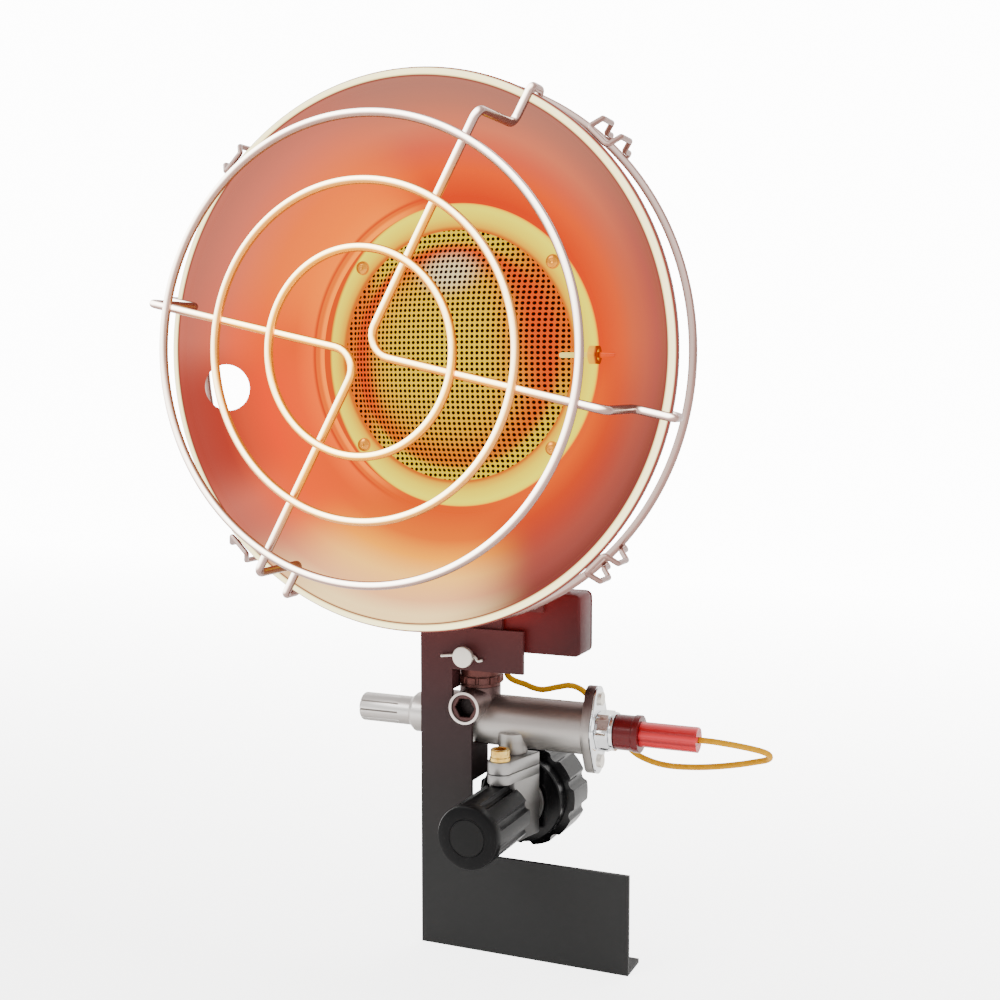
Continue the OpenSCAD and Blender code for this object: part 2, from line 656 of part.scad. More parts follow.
module switch_cover() color([0.35, 0.08, 0.08]) difference() {
    translate([switch_left, switch_y + switch_depth - switch_wall + seat_gap, switch_bottom])
        rounded_slab(switch_w, switch_h, switch_wall - seat_gap, switch_corner_r);
    translate([switch_mid_x, 0, tilt_z]) along_y(switch_y, switch_back + over, tilt_pin_r + seat_gap);
    slab(terminal_x - terminal_t / 2 - seat_gap, terminal_x + terminal_t / 2 + seat_gap,
        switch_y, switch_back + over,
        terminal_z - terminal_w / 2 - seat_gap, terminal_z + terminal_w / 2 + seat_gap);
}
module switch_screws() color([0.5, 0.3, 0.28]) for (x = switch_screw_xs) translate([x, 0, switch_screw_z]) {
    along_y(strap_y - 2 * switch_screw_r - seat_gap, strap_y - seat_gap, 2 * switch_screw_r);
    along_y(strap_y - seat_gap, switch_y + 2 * switch_wall, switch_screw_r);
}
tilt_y = switch_y + switch_depth / 2;
module tilt_pendulum() color([0.75, 0.6, 0.3])
    translate([switch_mid_x, tilt_y - bob_t / 2, tilt_z]) difference() {
    union() {
        along_y(0, bob_t, 2 * tilt_pin_r);
        translate([-tilt_pin_r, 0, -tilt_arm_len]) cube([2 * tilt_pin_r, bob_t, tilt_arm_len]);
        translate([0, 0, -tilt_arm_len]) along_y(0, bob_t, bob_r);
    }
    along_y(-over, bob_t + over, tilt_pin_r + run_gap);
}
module pendulum_pin() color([0.8, 0.8, 0.82]) translate([switch_mid_x, 0, tilt_z])
    along_y(switch_y + seat_gap, switch_y + switch_depth - seat_gap, tilt_pin_r);
module switch_terminal() color([0.85, 0.68, 0.35])
    slab(terminal_x - terminal_t / 2, terminal_x + terminal_t / 2, switch_back + terminal_out - terminal_len,
        switch_back + terminal_out, terminal_z - terminal_w / 2, terminal_z + terminal_w / 2);

// Flame-failure valve
// An oval plate: a wide round middle and two smaller lobes, joined by straight flanks
oval_steps = 72;
oval_reach = oval_half_h - oval_lobe_r;
flank = (oval_half_w - oval_lobe_r) / oval_reach;
function oval_point(a) =
    let (s = sin(a) > flank ? 1 : sin(a) < -flank ? -1 : 0, r = s == 0 ? oval_half_w : oval_lobe_r)
    [s * oval_reach + r * sin(a), r * cos(a)];
module oval_plate(x0, t) translate([x0, 0, 0]) rotate([0, 90, 0]) linear_extrude(t)
    polygon([for (i = [0:oval_steps - 1]) oval_point(360 * i / oval_steps)]);
oval_screw_z = 15;
oval_screw_r = 1.6;
oval_head_t = 1.5;
plug_len = 8;
plug_hex_d = 5;
magnet_collar_t = 2;
magnet_collar_share = 0.9;
tail_r = stem_r + 2 * over;
boot_ring_t = 4;
boot_step = 0.5;
module valve_body() color([0.72, 0.69, 0.67]) on_valve() difference() {
    union() {
        along_x(-barrel_left, oval_left + oval_t / 2, barrel_r);
        oval_plate(oval_left, oval_t);
        translate([-head_left, 0, boss_rise]) along_y(valve_front - boss_front - boss_lip, 0, boss_r);
        translate([-head_left, 0, 0]) cylinder(h = outlet_top - valve_z, r = outlet_r + tube_wall + side_gap);
        translate([0, inlet_boss_y + valve_front, block_top - valve_z])
            cylinder(h = valve_z - block_top, r = inlet_boss_r);
    }
    along_x(seat_x, oval_right + over, bore_r);
    along_x(-barrel_left - over, oval_right, stem_r + run_gap);
    along_x(-head_left - port_r, seat_x + over, port_r);
    along_x(-barrel_left - over, -barrel_left + spring_bore_d, bore_r);
    translate([-head_left, 0, boss_rise])
        along_y(valve_front - boss_front - boss_lip - over, -barrel_r / 2, boss_r - boss_lip);
    translate([-head_left, 0, 0]) cylinder(h = outlet_top, r = gas_bore_r);
    translate([0, inlet_boss_y + valve_front, block_top - valve_z - over])
        cylinder(h = valve_z - block_top, r = gas_bore_r);
    for (s = [-1, 1]) translate([0, 0, s * oval_screw_z])
        along_x(oval_left - over, oval_right + over, oval_screw_r + seat_gap);
}
module port_plug() color([0.38, 0.26, 0.25]) translate([-head_left, 0, boss_z]) difference() {
    along_y(-boss_front, -boss_front + plug_len, boss_r - boss_lip - run_gap);
    translate([0, -boss_front - over, 0]) rotate([-90, 0, 0])
        cylinder(h = plug_hex_d + over, r = hex_r, $fn = 6);
}
module end_plate() color([0.85, 0.86, 0.88]) on_valve() difference() {
    oval_plate(oval_right, end_plate_t);
    along_x(oval_right - over, plate_right + over, magnet_r + seat_gap);
    for (s = [-1, 1]) translate([0, 0, s * oval_screw_z])
        along_x(oval_right - over, plate_right + over, oval_screw_r + seat_gap);
}
module end_plate_screws() color([0.8, 0.8, 0.82]) on_valve() for (s = [-1, 1])
    translate([0, 0, s * oval_screw_z]) {
    along_x(plate_right, plate_right + oval_head_t, 2 * oval_screw_r);
    along_x(oval_left, plate_right, oval_screw_r);
}
module magnet_nut() color([0.88, 0.9, 0.92]) on_valve() difference() {
    union() {
        hex_prism(plate_right + seat_gap, nut_end - magnet_collar_t, magnet_nut_r);
        along_x(nut_end - magnet_collar_t, nut_end, magnet_nut_r * magnet_collar_share);
    }
    along_x(plate_right - over, nut_end + over, tail_r);
}
module magnet_unit() color([0.7, 0.55, 0.35]) on_valve() {
    along_x(magnet_left, plate_right, magnet_r);
    along_x(plate_right, nut_end + 2 * over, tail_r - run_gap);
}
module dark_sleeve() color([0.45, 0.05, 0.06]) on_valve() difference() {
    union() {
        along_x(nut_end + seat_gap, dark_end, dark_r - boot_step);
        along_x(dark_end - boot_ring_t, dark_end, dark_r);
    }
    along_x(nut_end - over, nut_end + 2 * over + seat_gap, tail_r);
    along_x(nut_end, dark_end + over, lead_d / 2 + seat_gap);
}
module lead_sleeve() color([0.8, 0.1, 0.1]) on_valve() difference() {
    along_x(dark_end + seat_gap / 2, red_end, red_r);
    along_x(dark_end, red_end + over, lead_d / 2 + seat_gap);
}

// The yellow lead: from the red sleeve out in a loop, back behind the valve and
// up to the switch's terminal
lead_route = [[76, -30, 39], [84, -30, 39], [90.3, -30, 39], [95.7, -29.5, 38.8], [103.8, -27, 37.6],
    [111.1, -24, 36], [116.2, -21, 34.3], [119, -18, 32.4], [119.1, -15.2, 30.2], [116.6, -12.6, 28.2],
    [112.3, -11, 26.6], [102.8, -10, 23.9], [90.7, -10, 21.5], [79.2, -10.5, 20.2], [68.6, -11, 20],
    [59.9, -11.5, 21.6], [52, -11.5, 25], [43.5, -11.5, 33], [35, -12, 43.5], [28.5, -12.5, 51],
    [24.5, -13.5, 54.2], [20, -15, 55.4], [14.5, -16.3, 54.4], [7.6, -18, 52.9], [2.5, -18.7, 53.6],
    [-1.4, -19, 55], [-6.5, -19.6, 56.4], [-10.5, -19, 58.4], [-12.2, -16.8, 62.2], [-11.6, -14, 67.5],
    [-8, -11.8, 74.2], [-3, -10.8, 79.6], [0.4, -11.6, 81.7], [1.8, -14.2, 82], [2, -17, 82], [2, -18.5, 82]];
module valve_lead() color([0.85, 0.6, 0.1]) wire(lead_route, lead_d / 2, 8);

collar_edge = 0.5;
module button_collar() color([0.85, 0.83, 0.8]) on_valve() difference() {
    union() {
        translate([-collar_left, 0, 0]) rotate([0, 90, 0])
            cylinder(h = collar_bevel, r1 = button_r + run_gap + collar_edge, r2 = collar_r);
        along_x(-collar_left + collar_bevel, -barrel_left - clamp_tab_t - 2 * seat_gap, collar_r);
        along_x(-collar_left + collar_bevel, -barrel_left + neck_len, neck_r);
    }
    along_x(-collar_left - over, -collar_left + button_in + button_travel + side_gap, button_r + run_gap);
    along_x(-collar_left, -barrel_left + neck_len + over, neck_bore_r);
}
ribs = 10;
rib_r = 0.9;
rib_out = 0.36;
socket_d = 4;
module push_button() color([0.9, 0.88, 0.86]) on_valve() difference() {
    along_x(-button_left, -collar_left + button_in, button_r);
    for (i = [0:ribs - 1]) rotate([180 * (2 * i + 1) / ribs, 0, 0]) translate([0, 0, button_r + rib_out])
        along_x(-button_left - over, -collar_left - button_travel - over, rib_r);
    along_x(-collar_left + button_in - socket_d, -collar_left + button_in + over, stem_r + seat_gap);
}
module valve_stem() color([0.75, 0.75, 0.78]) on_valve()
    along_x(-collar_left + button_in - socket_d + seat_gap, disc_left, stem_r);
module valve_disc() color([0.2, 0.2, 0.2]) on_valve() along_x(disc_left, disc_left + disc_t, disc_r);
spring_left = -collar_left + button_in + seat_gap;
spring_right = -barrel_left + spring_bore_d - seat_gap;
spring_steps = 8;
module button_spring() color([0.7, 0.7, 0.72]) on_valve() wire(
    [for (i = [0:spring_steps * spring_turns])
        let (a = 360 * i / spring_steps, k = i / (spring_steps * spring_turns))
        [spring_left + spring_wire / 2 + k * (spring_right - spring_left - spring_wire),
         spring_coil_r * cos(a), spring_coil_r * sin(a)]], spring_wire / 2, 6);

// Regulator: a casting that widens from the round front boss to its back
module block(z0, z1) translate([0, 0, z0]) {
    translate([0, plug_y, 0]) cylinder(h = z1 - z0, r = front_boss_r);
    linear_extrude(z1 - z0) polygon([[side_gap - front_boss_r, plug_y], [-block_half_w, block_back_y],
        [block_half_w, block_back_y], [front_boss_r - side_gap, plug_y]]);
}
cell_d = 9;
module regulator_body() color([0.68, 0.67, 0.66]) difference() {
    union() {
        block(chin_z, cover_bottom);
        intersection() {
            block(-block_drop, cover_bottom);
            slab(-block_half_w, block_half_w, chin_y, -hub_back, -block_drop, cover_bottom);
        }
        along_y(chin_y - spindle_boss_len, plug_y + front_boss_r, spindle_boss_r);
        along_y(block_back_y, -hub_back - seat_gap, hub_r);
    }
    along_y(chin_y - spindle_boss_len - over, plug_y + front_boss_r + spindle_in, spindle_r + run_gap);
    along_y(plug_y, -hub_back + over, gas_bore_r);
    translate([0, inlet_boss_y, 0]) cylinder(h = cover_bottom + over, r = gas_bore_r);
    translate([0, inlet_boss_y, cover_bottom - cell_d]) cylinder(h = cell_d + over, r = diaphragm_r);
}
module regulator_cover() color([0.72, 0.71, 0.7]) difference() {
    block(cover_bottom + seat_gap, block_top - seat_gap);
    translate([0, plug_y, cover_bottom - over]) cylinder(h = cover_t + 2 * over, r = plug_stem_r + seat_gap);
    translate([0, inlet_boss_y, cover_bottom]) cylinder(h = cover_t + over, r = gas_bore_r);
}
module brass_plug() color([0.85, 0.65, 0.25]) translate([0, plug_y, 0]) difference() {
    union() {
        translate([0, 0, cover_bottom + seat_gap]) cylinder(h = cover_t, r = plug_stem_r);
        translate([0, 0, block_top]) cylinder(h = plug_h, r = plug_r);
    }
    translate([0, 0, block_top + plug_h / 2]) cylinder(h = plug_h, r = plug_hex_r, $fn = 6);
}
module diaphragm() color([0.25, 0.25, 0.25]) translate([0, inlet_boss_y, cover_bottom - diaphragm_t])
    ring(gas_bore_r, diaphragm_r - seat_gap, diaphragm_t);
cell_spring_r = 6.5;
cell_turns = 3;
module regulator_spring() color([0.7, 0.7, 0.72])
    translate([0, inlet_boss_y, cover_bottom - cell_d + spring_wire / 2 + seat_gap]) wire(
    [for (i = [0:spring_steps * cell_turns]) let (a = 360 * i / spring_steps)
        [cell_spring_r * cos(a), cell_spring_r * sin(a), i / (spring_steps * cell_turns)
            * (cell_d - diaphragm_t - spring_wire - 2 * seat_gap)]], spring_wire / 2, 6);
knob_face_t = 5;
spindle_front_y = -knob_front + cap_t + knob_face_t;
module knob_spindle() color([0.8, 0.65, 0.35])
    along_y(spindle_front_y, plug_y + front_boss_r + spindle_in - seat_gap, spindle_r);

// The knob: a plain band at the front, grip grooves behind it and a round inset disc
grip_grooves = 8;
grip_r = 2.2;
grip_front = 6;
grip_out = 1;
face_step = 1;
face_inset = 0.8;
module control_knob() color([0.13, 0.13, 0.14]) difference() {
    union() {
        along_y(-knob_front + face_step, -knob_back, knob_r);
        along_y(-knob_front, -knob_front + face_step, knob_r - face_inset);
    }
    along_y(-knob_front - over, -knob_front + cap_t, cap_r + seat_gap);
    along_y(spindle_front_y - seat_gap, -knob_back + over, spindle_r + seat_gap / 2);
    along_y(chin_y - spindle_boss_len - cap_t, -knob_back + over, spindle_boss_r + side_gap);
    for (i = [0:grip_grooves - 1]) rotate([0, 180 * (2 * i + 1) / grip_grooves, 0])
        translate([0, 0, knob_r + grip_out]) along_y(-knob_front + grip_front, -knob_back + over, grip_r);
}
module knob_cap() color([0.17, 0.17, 0.18]) along_y(-knob_front + seat_gap, -knob_front + cap_t, cap_r);

// Inlet nipple and coupling nut
module inlet_nipple() color([0.75, 0.62, 0.35]) difference() {
    union() {
        along_y(-hub_back, -nut_len + nut_web_t + circlip_t + side_gap + over, shank_r);
        along_y(-hub_back, nose_out, nipple_r);
    }
    along_y(-hub_back - over, nose_out + over, gas_bore_r);
    translate([0, -nut_len + nut_web_t + seat_gap, 0]) rotate([-90, 0, 0])
        ring(shank_r - groove_d, shank_r + over, circlip_t + seat_gap);
    translate([0, nose_out - seal_t, 0]) rotate([-90, 0, 0]) ring(seal_in_r, seal_out_r, seal_t + over);
}
module coupling_nut() color([0.1, 0.1, 0.11]) difference() {
    along_y(-nut_len, 0, nut_r);
    along_y(-nut_len - over, 0, shank_r + run_gap);
    along_y(-nut_len + nut_web_t, over, nut_mouth_r);
    for (i = [0:lobes - 1]) rotate([0, 360 * i / lobes, 0]) translate([0, 0, nut_r + lobe_out])
        along_y(-lobe_len, over, lobe_r);
    difference() {
        along_y(-nut_len - over, -lobe_len, nut_r + over);
        along_y(-nut_len - 2 * over, over - lobe_len, nut_r - nut_step);
    }
}
module nut_circlip() color([0.6, 0.6, 0.62])
    translate([0, -nut_len + nut_web_t + seat_gap, 0]) rotate([-90, 0, 0])
    ring(shank_r - groove_d + seat_gap, circlip_r, circlip_t);
module nipple_seal() color([0.1, 0.1, 0.1]) translate([0, nose_out - seal_t + seat_gap, 0]) rotate([-90, 0, 0])
    ring(seal_in_r + seat_gap, seal_out_r - seat_gap, seal_t - seat_gap);

reflector();
gasket();
burner_cup();
clamping_ring();
burner_screen();
diffuser();
clamp_screws();
mixing_tube();
orifice_holder();
gas_orifice();
thermocouple();
thermocouple_nuts();
thermocouple_lead();
guard_ring_outer();
guard_ring_middle();
guard_ring_inner();
guard_wire_left();
guard_wire_right();
rear_guard_ring();
rim_clips();
support_bracket();
head_bracket();
clevis_pin();
cotter_pin();
switch_housing();
switch_cover();
switch_screws();
tilt_pendulum();
pendulum_pin();
switch_terminal();
valve_body();
port_plug();
end_plate();
end_plate_screws();
magnet_nut();
magnet_unit();
dark_sleeve();
lead_sleeve();
valve_lead();
button_collar();
push_button();
valve_stem();
button_spring();
valve_disc();
regulator_body();
regulator_cover();
brass_plug();
diaphragm();
regulator_spring();
knob_spindle();
control_knob();
knob_cap();
inlet_nipple();
coupling_nut();
nut_circlip();
nipple_seal();
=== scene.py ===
import math

import bpy
import numpy as np
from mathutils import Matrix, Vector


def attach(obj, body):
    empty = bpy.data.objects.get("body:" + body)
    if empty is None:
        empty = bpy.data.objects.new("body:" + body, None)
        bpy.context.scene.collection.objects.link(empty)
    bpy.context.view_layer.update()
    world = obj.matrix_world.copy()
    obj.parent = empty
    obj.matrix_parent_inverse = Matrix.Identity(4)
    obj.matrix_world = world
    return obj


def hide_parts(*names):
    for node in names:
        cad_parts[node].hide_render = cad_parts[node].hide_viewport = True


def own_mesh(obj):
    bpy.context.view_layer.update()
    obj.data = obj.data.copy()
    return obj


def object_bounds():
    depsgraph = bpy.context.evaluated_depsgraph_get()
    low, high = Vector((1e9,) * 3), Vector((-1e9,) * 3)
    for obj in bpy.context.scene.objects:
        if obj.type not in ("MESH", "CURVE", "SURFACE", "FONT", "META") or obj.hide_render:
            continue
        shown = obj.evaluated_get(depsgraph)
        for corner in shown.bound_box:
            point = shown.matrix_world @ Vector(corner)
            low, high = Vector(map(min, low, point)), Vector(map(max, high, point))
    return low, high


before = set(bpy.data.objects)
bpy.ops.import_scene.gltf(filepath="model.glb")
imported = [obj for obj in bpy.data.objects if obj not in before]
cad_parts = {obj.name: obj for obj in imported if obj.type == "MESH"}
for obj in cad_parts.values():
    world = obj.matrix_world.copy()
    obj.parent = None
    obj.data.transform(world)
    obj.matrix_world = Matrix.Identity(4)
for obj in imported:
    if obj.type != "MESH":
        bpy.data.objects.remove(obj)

cad_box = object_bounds()

# ---- Camera, floor and light --------------------------------------------------
# A 50 mm lens stands to the right of the heater, a little above the valve, and
# looks down by five degrees. The floor sweeps up behind into a pale backdrop.


def result(node):
    """The output of a node that its settings leave in use, such as the number or the vector of a VectorMath."""
    return next(s for s in node.outputs if s.enabled)


def add(tree, kind, settings=None, to=None, **links):
    """Adds a node of that kind. settings fills its own properties or input sockets by name, where stops gives
    a ramp its hex colour at each place. links joins its inputs to sockets, or to nodes for their result, and
    to is the socket of the Principled surface that takes its own result."""
    n = tree.nodes.new("ShaderNode" + kind)
    for key, value in (settings or {}).items():
        if key == "stops":
            ramp = n.color_ramp
            while len(ramp.elements) < len(value):
                ramp.elements.new(0.5)
            for e, (at, colour) in zip(ramp.elements, value.items()):
                e.position, e.color = at, hexed(colour)
        elif isinstance(key, str) and hasattr(n, key):
            setattr(n, key, value)
        else:
            n.inputs[key].default_value = hexed(value) if isinstance(value, str) else value
    for key, source in links.items():
        tree.links.new(source if isinstance(source, bpy.types.NodeSocket) else result(source),
                       n.inputs[int(key[1:]) if key[:1] == "_" else key.replace("_", " ")])
    if to:
        tree.links.new(result(n), tree.nodes["Principled BSDF"].inputs[to])
    return n


def hexed(code):
    """A six-figure sRGB hex code as linear red, green, blue and alpha 1: c/12.92 for the darkest steps c of
    each colour, and ((c + 0.055)/1.055)^2.4 for the others."""
    c = np.array([int(code[i:i + 2], 16) for i in (0, 2, 4)]) / 255
    return (*np.where(c > 0.04045, ((c + 0.055) / 1.055) ** 2.4, c / 12.92).tolist(), 1.0)


def finish_of(name, colour, **sockets):
    """A material with one Principled surface of that hex colour, its node tree and its Object coordinates.
    sockets sets the surface's constant inputs."""
    m = bpy.data.materials.new(name)
    m.use_nodes = True
    surface = m.node_tree.nodes["Principled BSDF"]
    for key, value in {"Base Color": colour, **sockets}.items():
        surface.inputs[key.replace("_", " ")].default_value = hexed(value) if isinstance(value, str) else value
    return m, m.node_tree, add(m.node_tree, "TexCoord").outputs["Object"]


def grained(tree, place, scale, strength, depth, detail=2.0):
    """The fine unevenness of a surface, and the noise that it comes from: a bump of depth metres over noise
    of scale grains per metre, so that 1000 is a grain of 1 mm. Real grit and tool marks are mostly too fine for
    the view, where a pixel is about half a millimetre, so they are drawn as coarse as they need to show."""
    grain = add(tree, "TexNoise", {"Scale": scale, "Detail": detail}, Vector=place)
    add(tree, "Bump", {"Strength": strength, "Distance": depth}, Height=grain, to="Normal")
    return grain


def shaded(me):
    """Smooth shading, except at edges over 32 degrees."""
    me.polygons.foreach_set("use_smooth", np.ones(len(me.polygons), dtype=bool))
    me.set_sharp_from_angle(angle=math.radians(32))


def placed(name, faces_of, *finishes):
    """An object with those finishes from (points in mm, faces that point outwards)."""
    points, faces = faces_of
    me = bpy.data.meshes.new(name)
    me.from_pydata((np.asarray(points) / 1000).tolist(), [], [list(f) for f in faces])
    shaded(me)
    for f in finishes:
        me.materials.append(f)
    o = bpy.data.objects.new(name, me)
    bpy.context.scene.collection.objects.link(o)
    return o


camera = bpy.data.objects.new("camera", bpy.data.cameras.new("camera"))
bpy.context.scene.collection.objects.link(camera)
camera.data.lens, camera.data.sensor_width = 50, 36
camera.location = (0.2501, -0.641, 0.2035)
camera.rotation_euler = (math.radians(90 - 4.93), 0, math.radians(23.07))
bpy.context.scene.camera = camera

floor_z = cad_box[0][2] * 1000 - 0.2
front_y, bend_y, bend_r, top_z, half_width = -3000, 1600, 900, 4500, 4200
bend = np.linspace(0.1, np.pi / 2, 14)
sweep = np.concatenate([np.linspace(front_y, bend_y, 24), bend_y + bend_r * np.sin(bend), [bend_y + bend_r]])
rise = np.concatenate([np.zeros(24), bend_r * (1 - np.cos(bend)), [top_z]])
across = np.linspace(-half_width, half_width, 8)
grid = np.stack([np.repeat(across[:, None], len(sweep), 1), np.repeat(sweep[None], 8, 0),
                 floor_z + np.repeat(rise[None], 8, 0)], -1)
index = np.arange(8 * len(sweep)).reshape(8, -1)
quads = np.stack([index[:-1, :-1], index[1:, :-1], index[1:, 1:], index[:-1, 1:]], -1).reshape(-1, 4)
# matt paper lit to near white: the camera sees it glow, more so farther back, and it lights the object little
paper, tree, place = finish_of("pale_backdrop_paper", "FBFAF8", Roughness=0.9, Specular_IOR_Level=0.1,
                               Emission_Color="FFFFFF")
back = add(tree, "SeparateXYZ", Vector=place)
lit = add(tree, "MapRange", {"From Min": -0.1, "From Max": 1.2, "To Min": 3.6, "To Max": 12.0},
          Value=back.outputs["Y"])
add(tree, "Mix", {2: 0.6}, to="Emission Strength", _0=add(tree, "LightPath"), _3=lit)
grained(tree, place, 400.0, 0.02, 0.0003, detail=4.0)
floor = placed("floor", (grid.reshape(-1, 3), quads), paper)

world = bpy.data.worlds.new("soft_studio")
world.use_nodes = True
background = world.node_tree.nodes["Background"]
background.inputs["Color"].default_value = (1.0, 0.99, 0.98, 1)
# beyond the paper's edge the camera sees the same pale tone; the light it gives stays soft
sky = add(world.node_tree, "MapRange", {"To Min": 1.1, "To Max": 6.0}, Value=add(world.node_tree, "LightPath"))
world.node_tree.links.new(result(sky), background.inputs["Strength"])
bpy.context.scene.world = world
for name, at, aim, size, power in (
        ("key_softbox", (-1.1, -1.5, 1.7), (0, 0, 0.1), 1.2, 34),
        ("fill_softbox", (1.7, -1.1, 0.9), (0, 0, 0.1), 1.0, 8),
        ("rim_softbox", (0.5, 1.3, 1.6), (0, 0, 0.2), 1.0, 10)):
    lamp = bpy.data.lights.new(name, "AREA")
    lamp.size, lamp.energy = size, power
    o = bpy.data.objects.new(name, lamp)
    o.location = at
    d = np.array(at) - np.array(aim)
    o.rotation_euler = (math.atan2(math.hypot(d[0], d[1]), d[2]), 0, math.atan2(d[0], -d[1]))
    bpy.context.scene.collection.objects.link(o)

# ---- Magnet lead --------------------------------------------------------------
# A thin copper strand in soft ochre silicone. It leaves the red sleeve in a loop,
# runs back behind the valve and ends on the spade of the tip-over switch.


def circle(n):
    """n even angles round one turn."""
    return np.linspace(0, 2 * np.pi, n, endpoint=False)


def skinned(rows, cols, closed=False):
    """The faces over rows rings of cols points: quads from each ring to the next, and from the last to the
    first if closed, or else one face over each end."""
    k = np.arange(rows * cols).reshape(rows, cols)
    n = np.roll(k, -1, axis=1)
    quads = np.stack([k, n, np.roll(n, -1, axis=0), np.roll(k, -1, axis=0)], -1)
    if closed:
        return quads.reshape(-1, 4).tolist()
    return quads[:-1].reshape(-1, 4).tolist() + [k[0][::-1].tolist(), k[-1].tolist()]


def carried(path, radius, sides):
    """(points, faces) of a round tube: at each path point a ring radius*(cos a * U + sin a * V),
    where U starts square to the path and turns with it as little as it can."""
    path = np.asarray(path, float)
    t = np.gradient(path, axis=0)
    t /= np.linalg.norm(t, axis=1)[:, None]
    u = np.cross(t[0], [0, 0, 1] if abs(t[0][2]) < 0.9 else [1, 0, 0])
    frames = []
    for step in t:
        u = u - step * (u @ step)
        u = u / np.linalg.norm(u)
        frames.append(u)
    u = np.array(frames)
    v = np.cross(t, u)
    a = circle(sides)[None, :, None]
    rings = path[:, None] + radius * (np.cos(a) * u[:, None] + np.sin(a) * v[:, None])
    return rings.reshape(-1, 3), skinned(len(path), sides)


def eased(points, per=6):
    """A smooth line through points: Catmull-Rom cubics,
    0.5*(2B + (C-A)*s + (2A-5B+4C-D)*s^2 + (3B-A-3C+D)*s^3), in per steps from each point to the next."""
    p = np.asarray(points, float)
    p = np.vstack([2 * p[0] - p[1], p, 2 * p[-1] - p[-2]])
    a, b, c, d = (p[i:len(p) - 3 + i, None] for i in range(4))
    s = np.linspace(0, 1, per, endpoint=False)[None, :, None]
    q = 0.5 * (2 * b + (c - a) * s + (2 * a - 5 * b + 4 * c - d) * s ** 2 + (3 * b - a - 3 * c + d) * s ** 3)
    return np.vstack([q.reshape(-1, 3), p[-2]])


lead_d = 2.9
lead_line = eased([
    (89.2, -30, 39), (90.3, -30, 39), (95.7, -29.5, 38.8), (103.8, -27, 37.6), (111.1, -24, 36),
    (116.2, -21, 34.3), (118.6, -18, 32.4), (118.7, -15.2, 30.2), (116.5, -12.6, 28.2), (112.3, -11, 26.6),
    (102.8, -10, 23.9), (90.7, -10, 21.5), (79.2, -10.5, 20.2), (68.6, -11, 20), (59.9, -11.5, 21.6),
    (52, -11.5, 25), (43.5, -11.5, 33), (35, -12, 43.5), (28.5, -12.5, 51), (24.5, -13.5, 54.2),
    (20, -15, 55.4), (14.5, -16.3, 54.4), (7.6, -18, 52.9), (2.5, -18.7, 53.6), (-1.4, -19, 55),
    (-6.5, -19.6, 56.4), (-10.5, -19, 58.4), (-12.2, -16.8, 62.2), (-11.6, -14, 67.5), (-8, -11.8, 74.2),
    (-3, -10.8, 79.6), (0.4, -11.6, 81.7), (1.8, -14.2, 82), (2, -17, 82), (2, -18.4, 82)])
# extruded silicone: a soft sheen with hardly a highlight, and a faint mottle of deeper ochre, 4 mm across
silicone, tree, place = finish_of("ochre_silicone_sleeving", "C88C00", Roughness=0.45, Specular_IOR_Level=0.1)
mottle = add(tree, "TexNoise", {"Scale": 260.0, "Detail": 5.0}, Vector=place)
add(tree, "ValToRGB", {"stops": {0.3: "C08600", 0.7: "D29600"}}, to="Base Color", Fac=mottle)
grained(tree, place, 2600.0, 0.08, 0.0001)
lead = placed("magnet_lead", carried(lead_line, lead_d / 2, 16), silicone)
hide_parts("valve_lead")
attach(lead, "frame")

# ---- Reflector ----------------------------------------------------------------
# One spun steel bowl, polished inside, with a rolled rim and a stepped recess for
# the burner. Its inside has a painted glow, orange at the recess to dusky pink at the rim.


def lathed(along, radius, centre, axis="y", steps=128, closed=False):
    """(points, faces) of a turned form: point(i, a) = centre + along[i]*W + radius[i, a]*(cos a * U + sin a * V).
    A row's radius is a number, or one number for each angle where the form isn't round. closed joins the
    last row to the first; otherwise the two ends are filled."""
    along = np.asarray(along, float)
    cols = max(np.size(r) for r in radius)
    cols = cols if cols > 1 else steps
    radius = np.array([np.broadcast_to(r, cols) for r in radius], float)
    a = circle(cols)[None, :, None]
    u, v, w = {"x": ((0, 1, 0), (0, 0, 1), (1, 0, 0)), "y": ((0, 0, 1), (1, 0, 0), (0, 1, 0)),
               "z": ((1, 0, 0), (0, 1, 0), (0, 0, 1))}[axis]
    p = (np.asarray(centre, float) + along[:, None, None] * np.array(w)
         + radius[..., None] * (np.cos(a) * np.array(u) + np.sin(a) * np.array(v)))
    area = (radius[:, 0] * np.roll(along, -1) - np.roll(radius[:, 0], -1) * along).sum()
    faces = skinned(len(along), cols, closed)
    return p.reshape(-1, 3), faces if area > 0 else [f[::-1] for f in faces]


def softened(points, r, steps=3, loop=False):
    """The corners of a profile turned into small arcs: from each corner b, (1-s)^2*P + 2s(1-s)*b + s^2*Q,
    where P and Q lie r along the two sides, or at most 0.45 of a side."""
    p = np.asarray(points, float)
    before, after = np.roll(p, 1, axis=0), np.roll(p, -1, axis=0)
    back, on = before - p, after - p
    lb, lo = np.linalg.norm(back, axis=1)[:, None], np.linalg.norm(on, axis=1)[:, None]
    P = p + back / lb * np.minimum(r, 0.45 * lb)
    Q = p + on / lo * np.minimum(r, 0.45 * lo)
    s = np.linspace(0, 1, steps + 1)[None, :, None]
    arcs = (1 - s) ** 2 * P[:, None] + 2 * s * (1 - s) * p[:, None] + s ** 2 * Q[:, None]
    if loop:
        return arcs.reshape(-1, p.shape[1])
    return np.vstack([p[:1], arcs[1:-1].reshape(-1, p.shape[1]), p[-1:]])


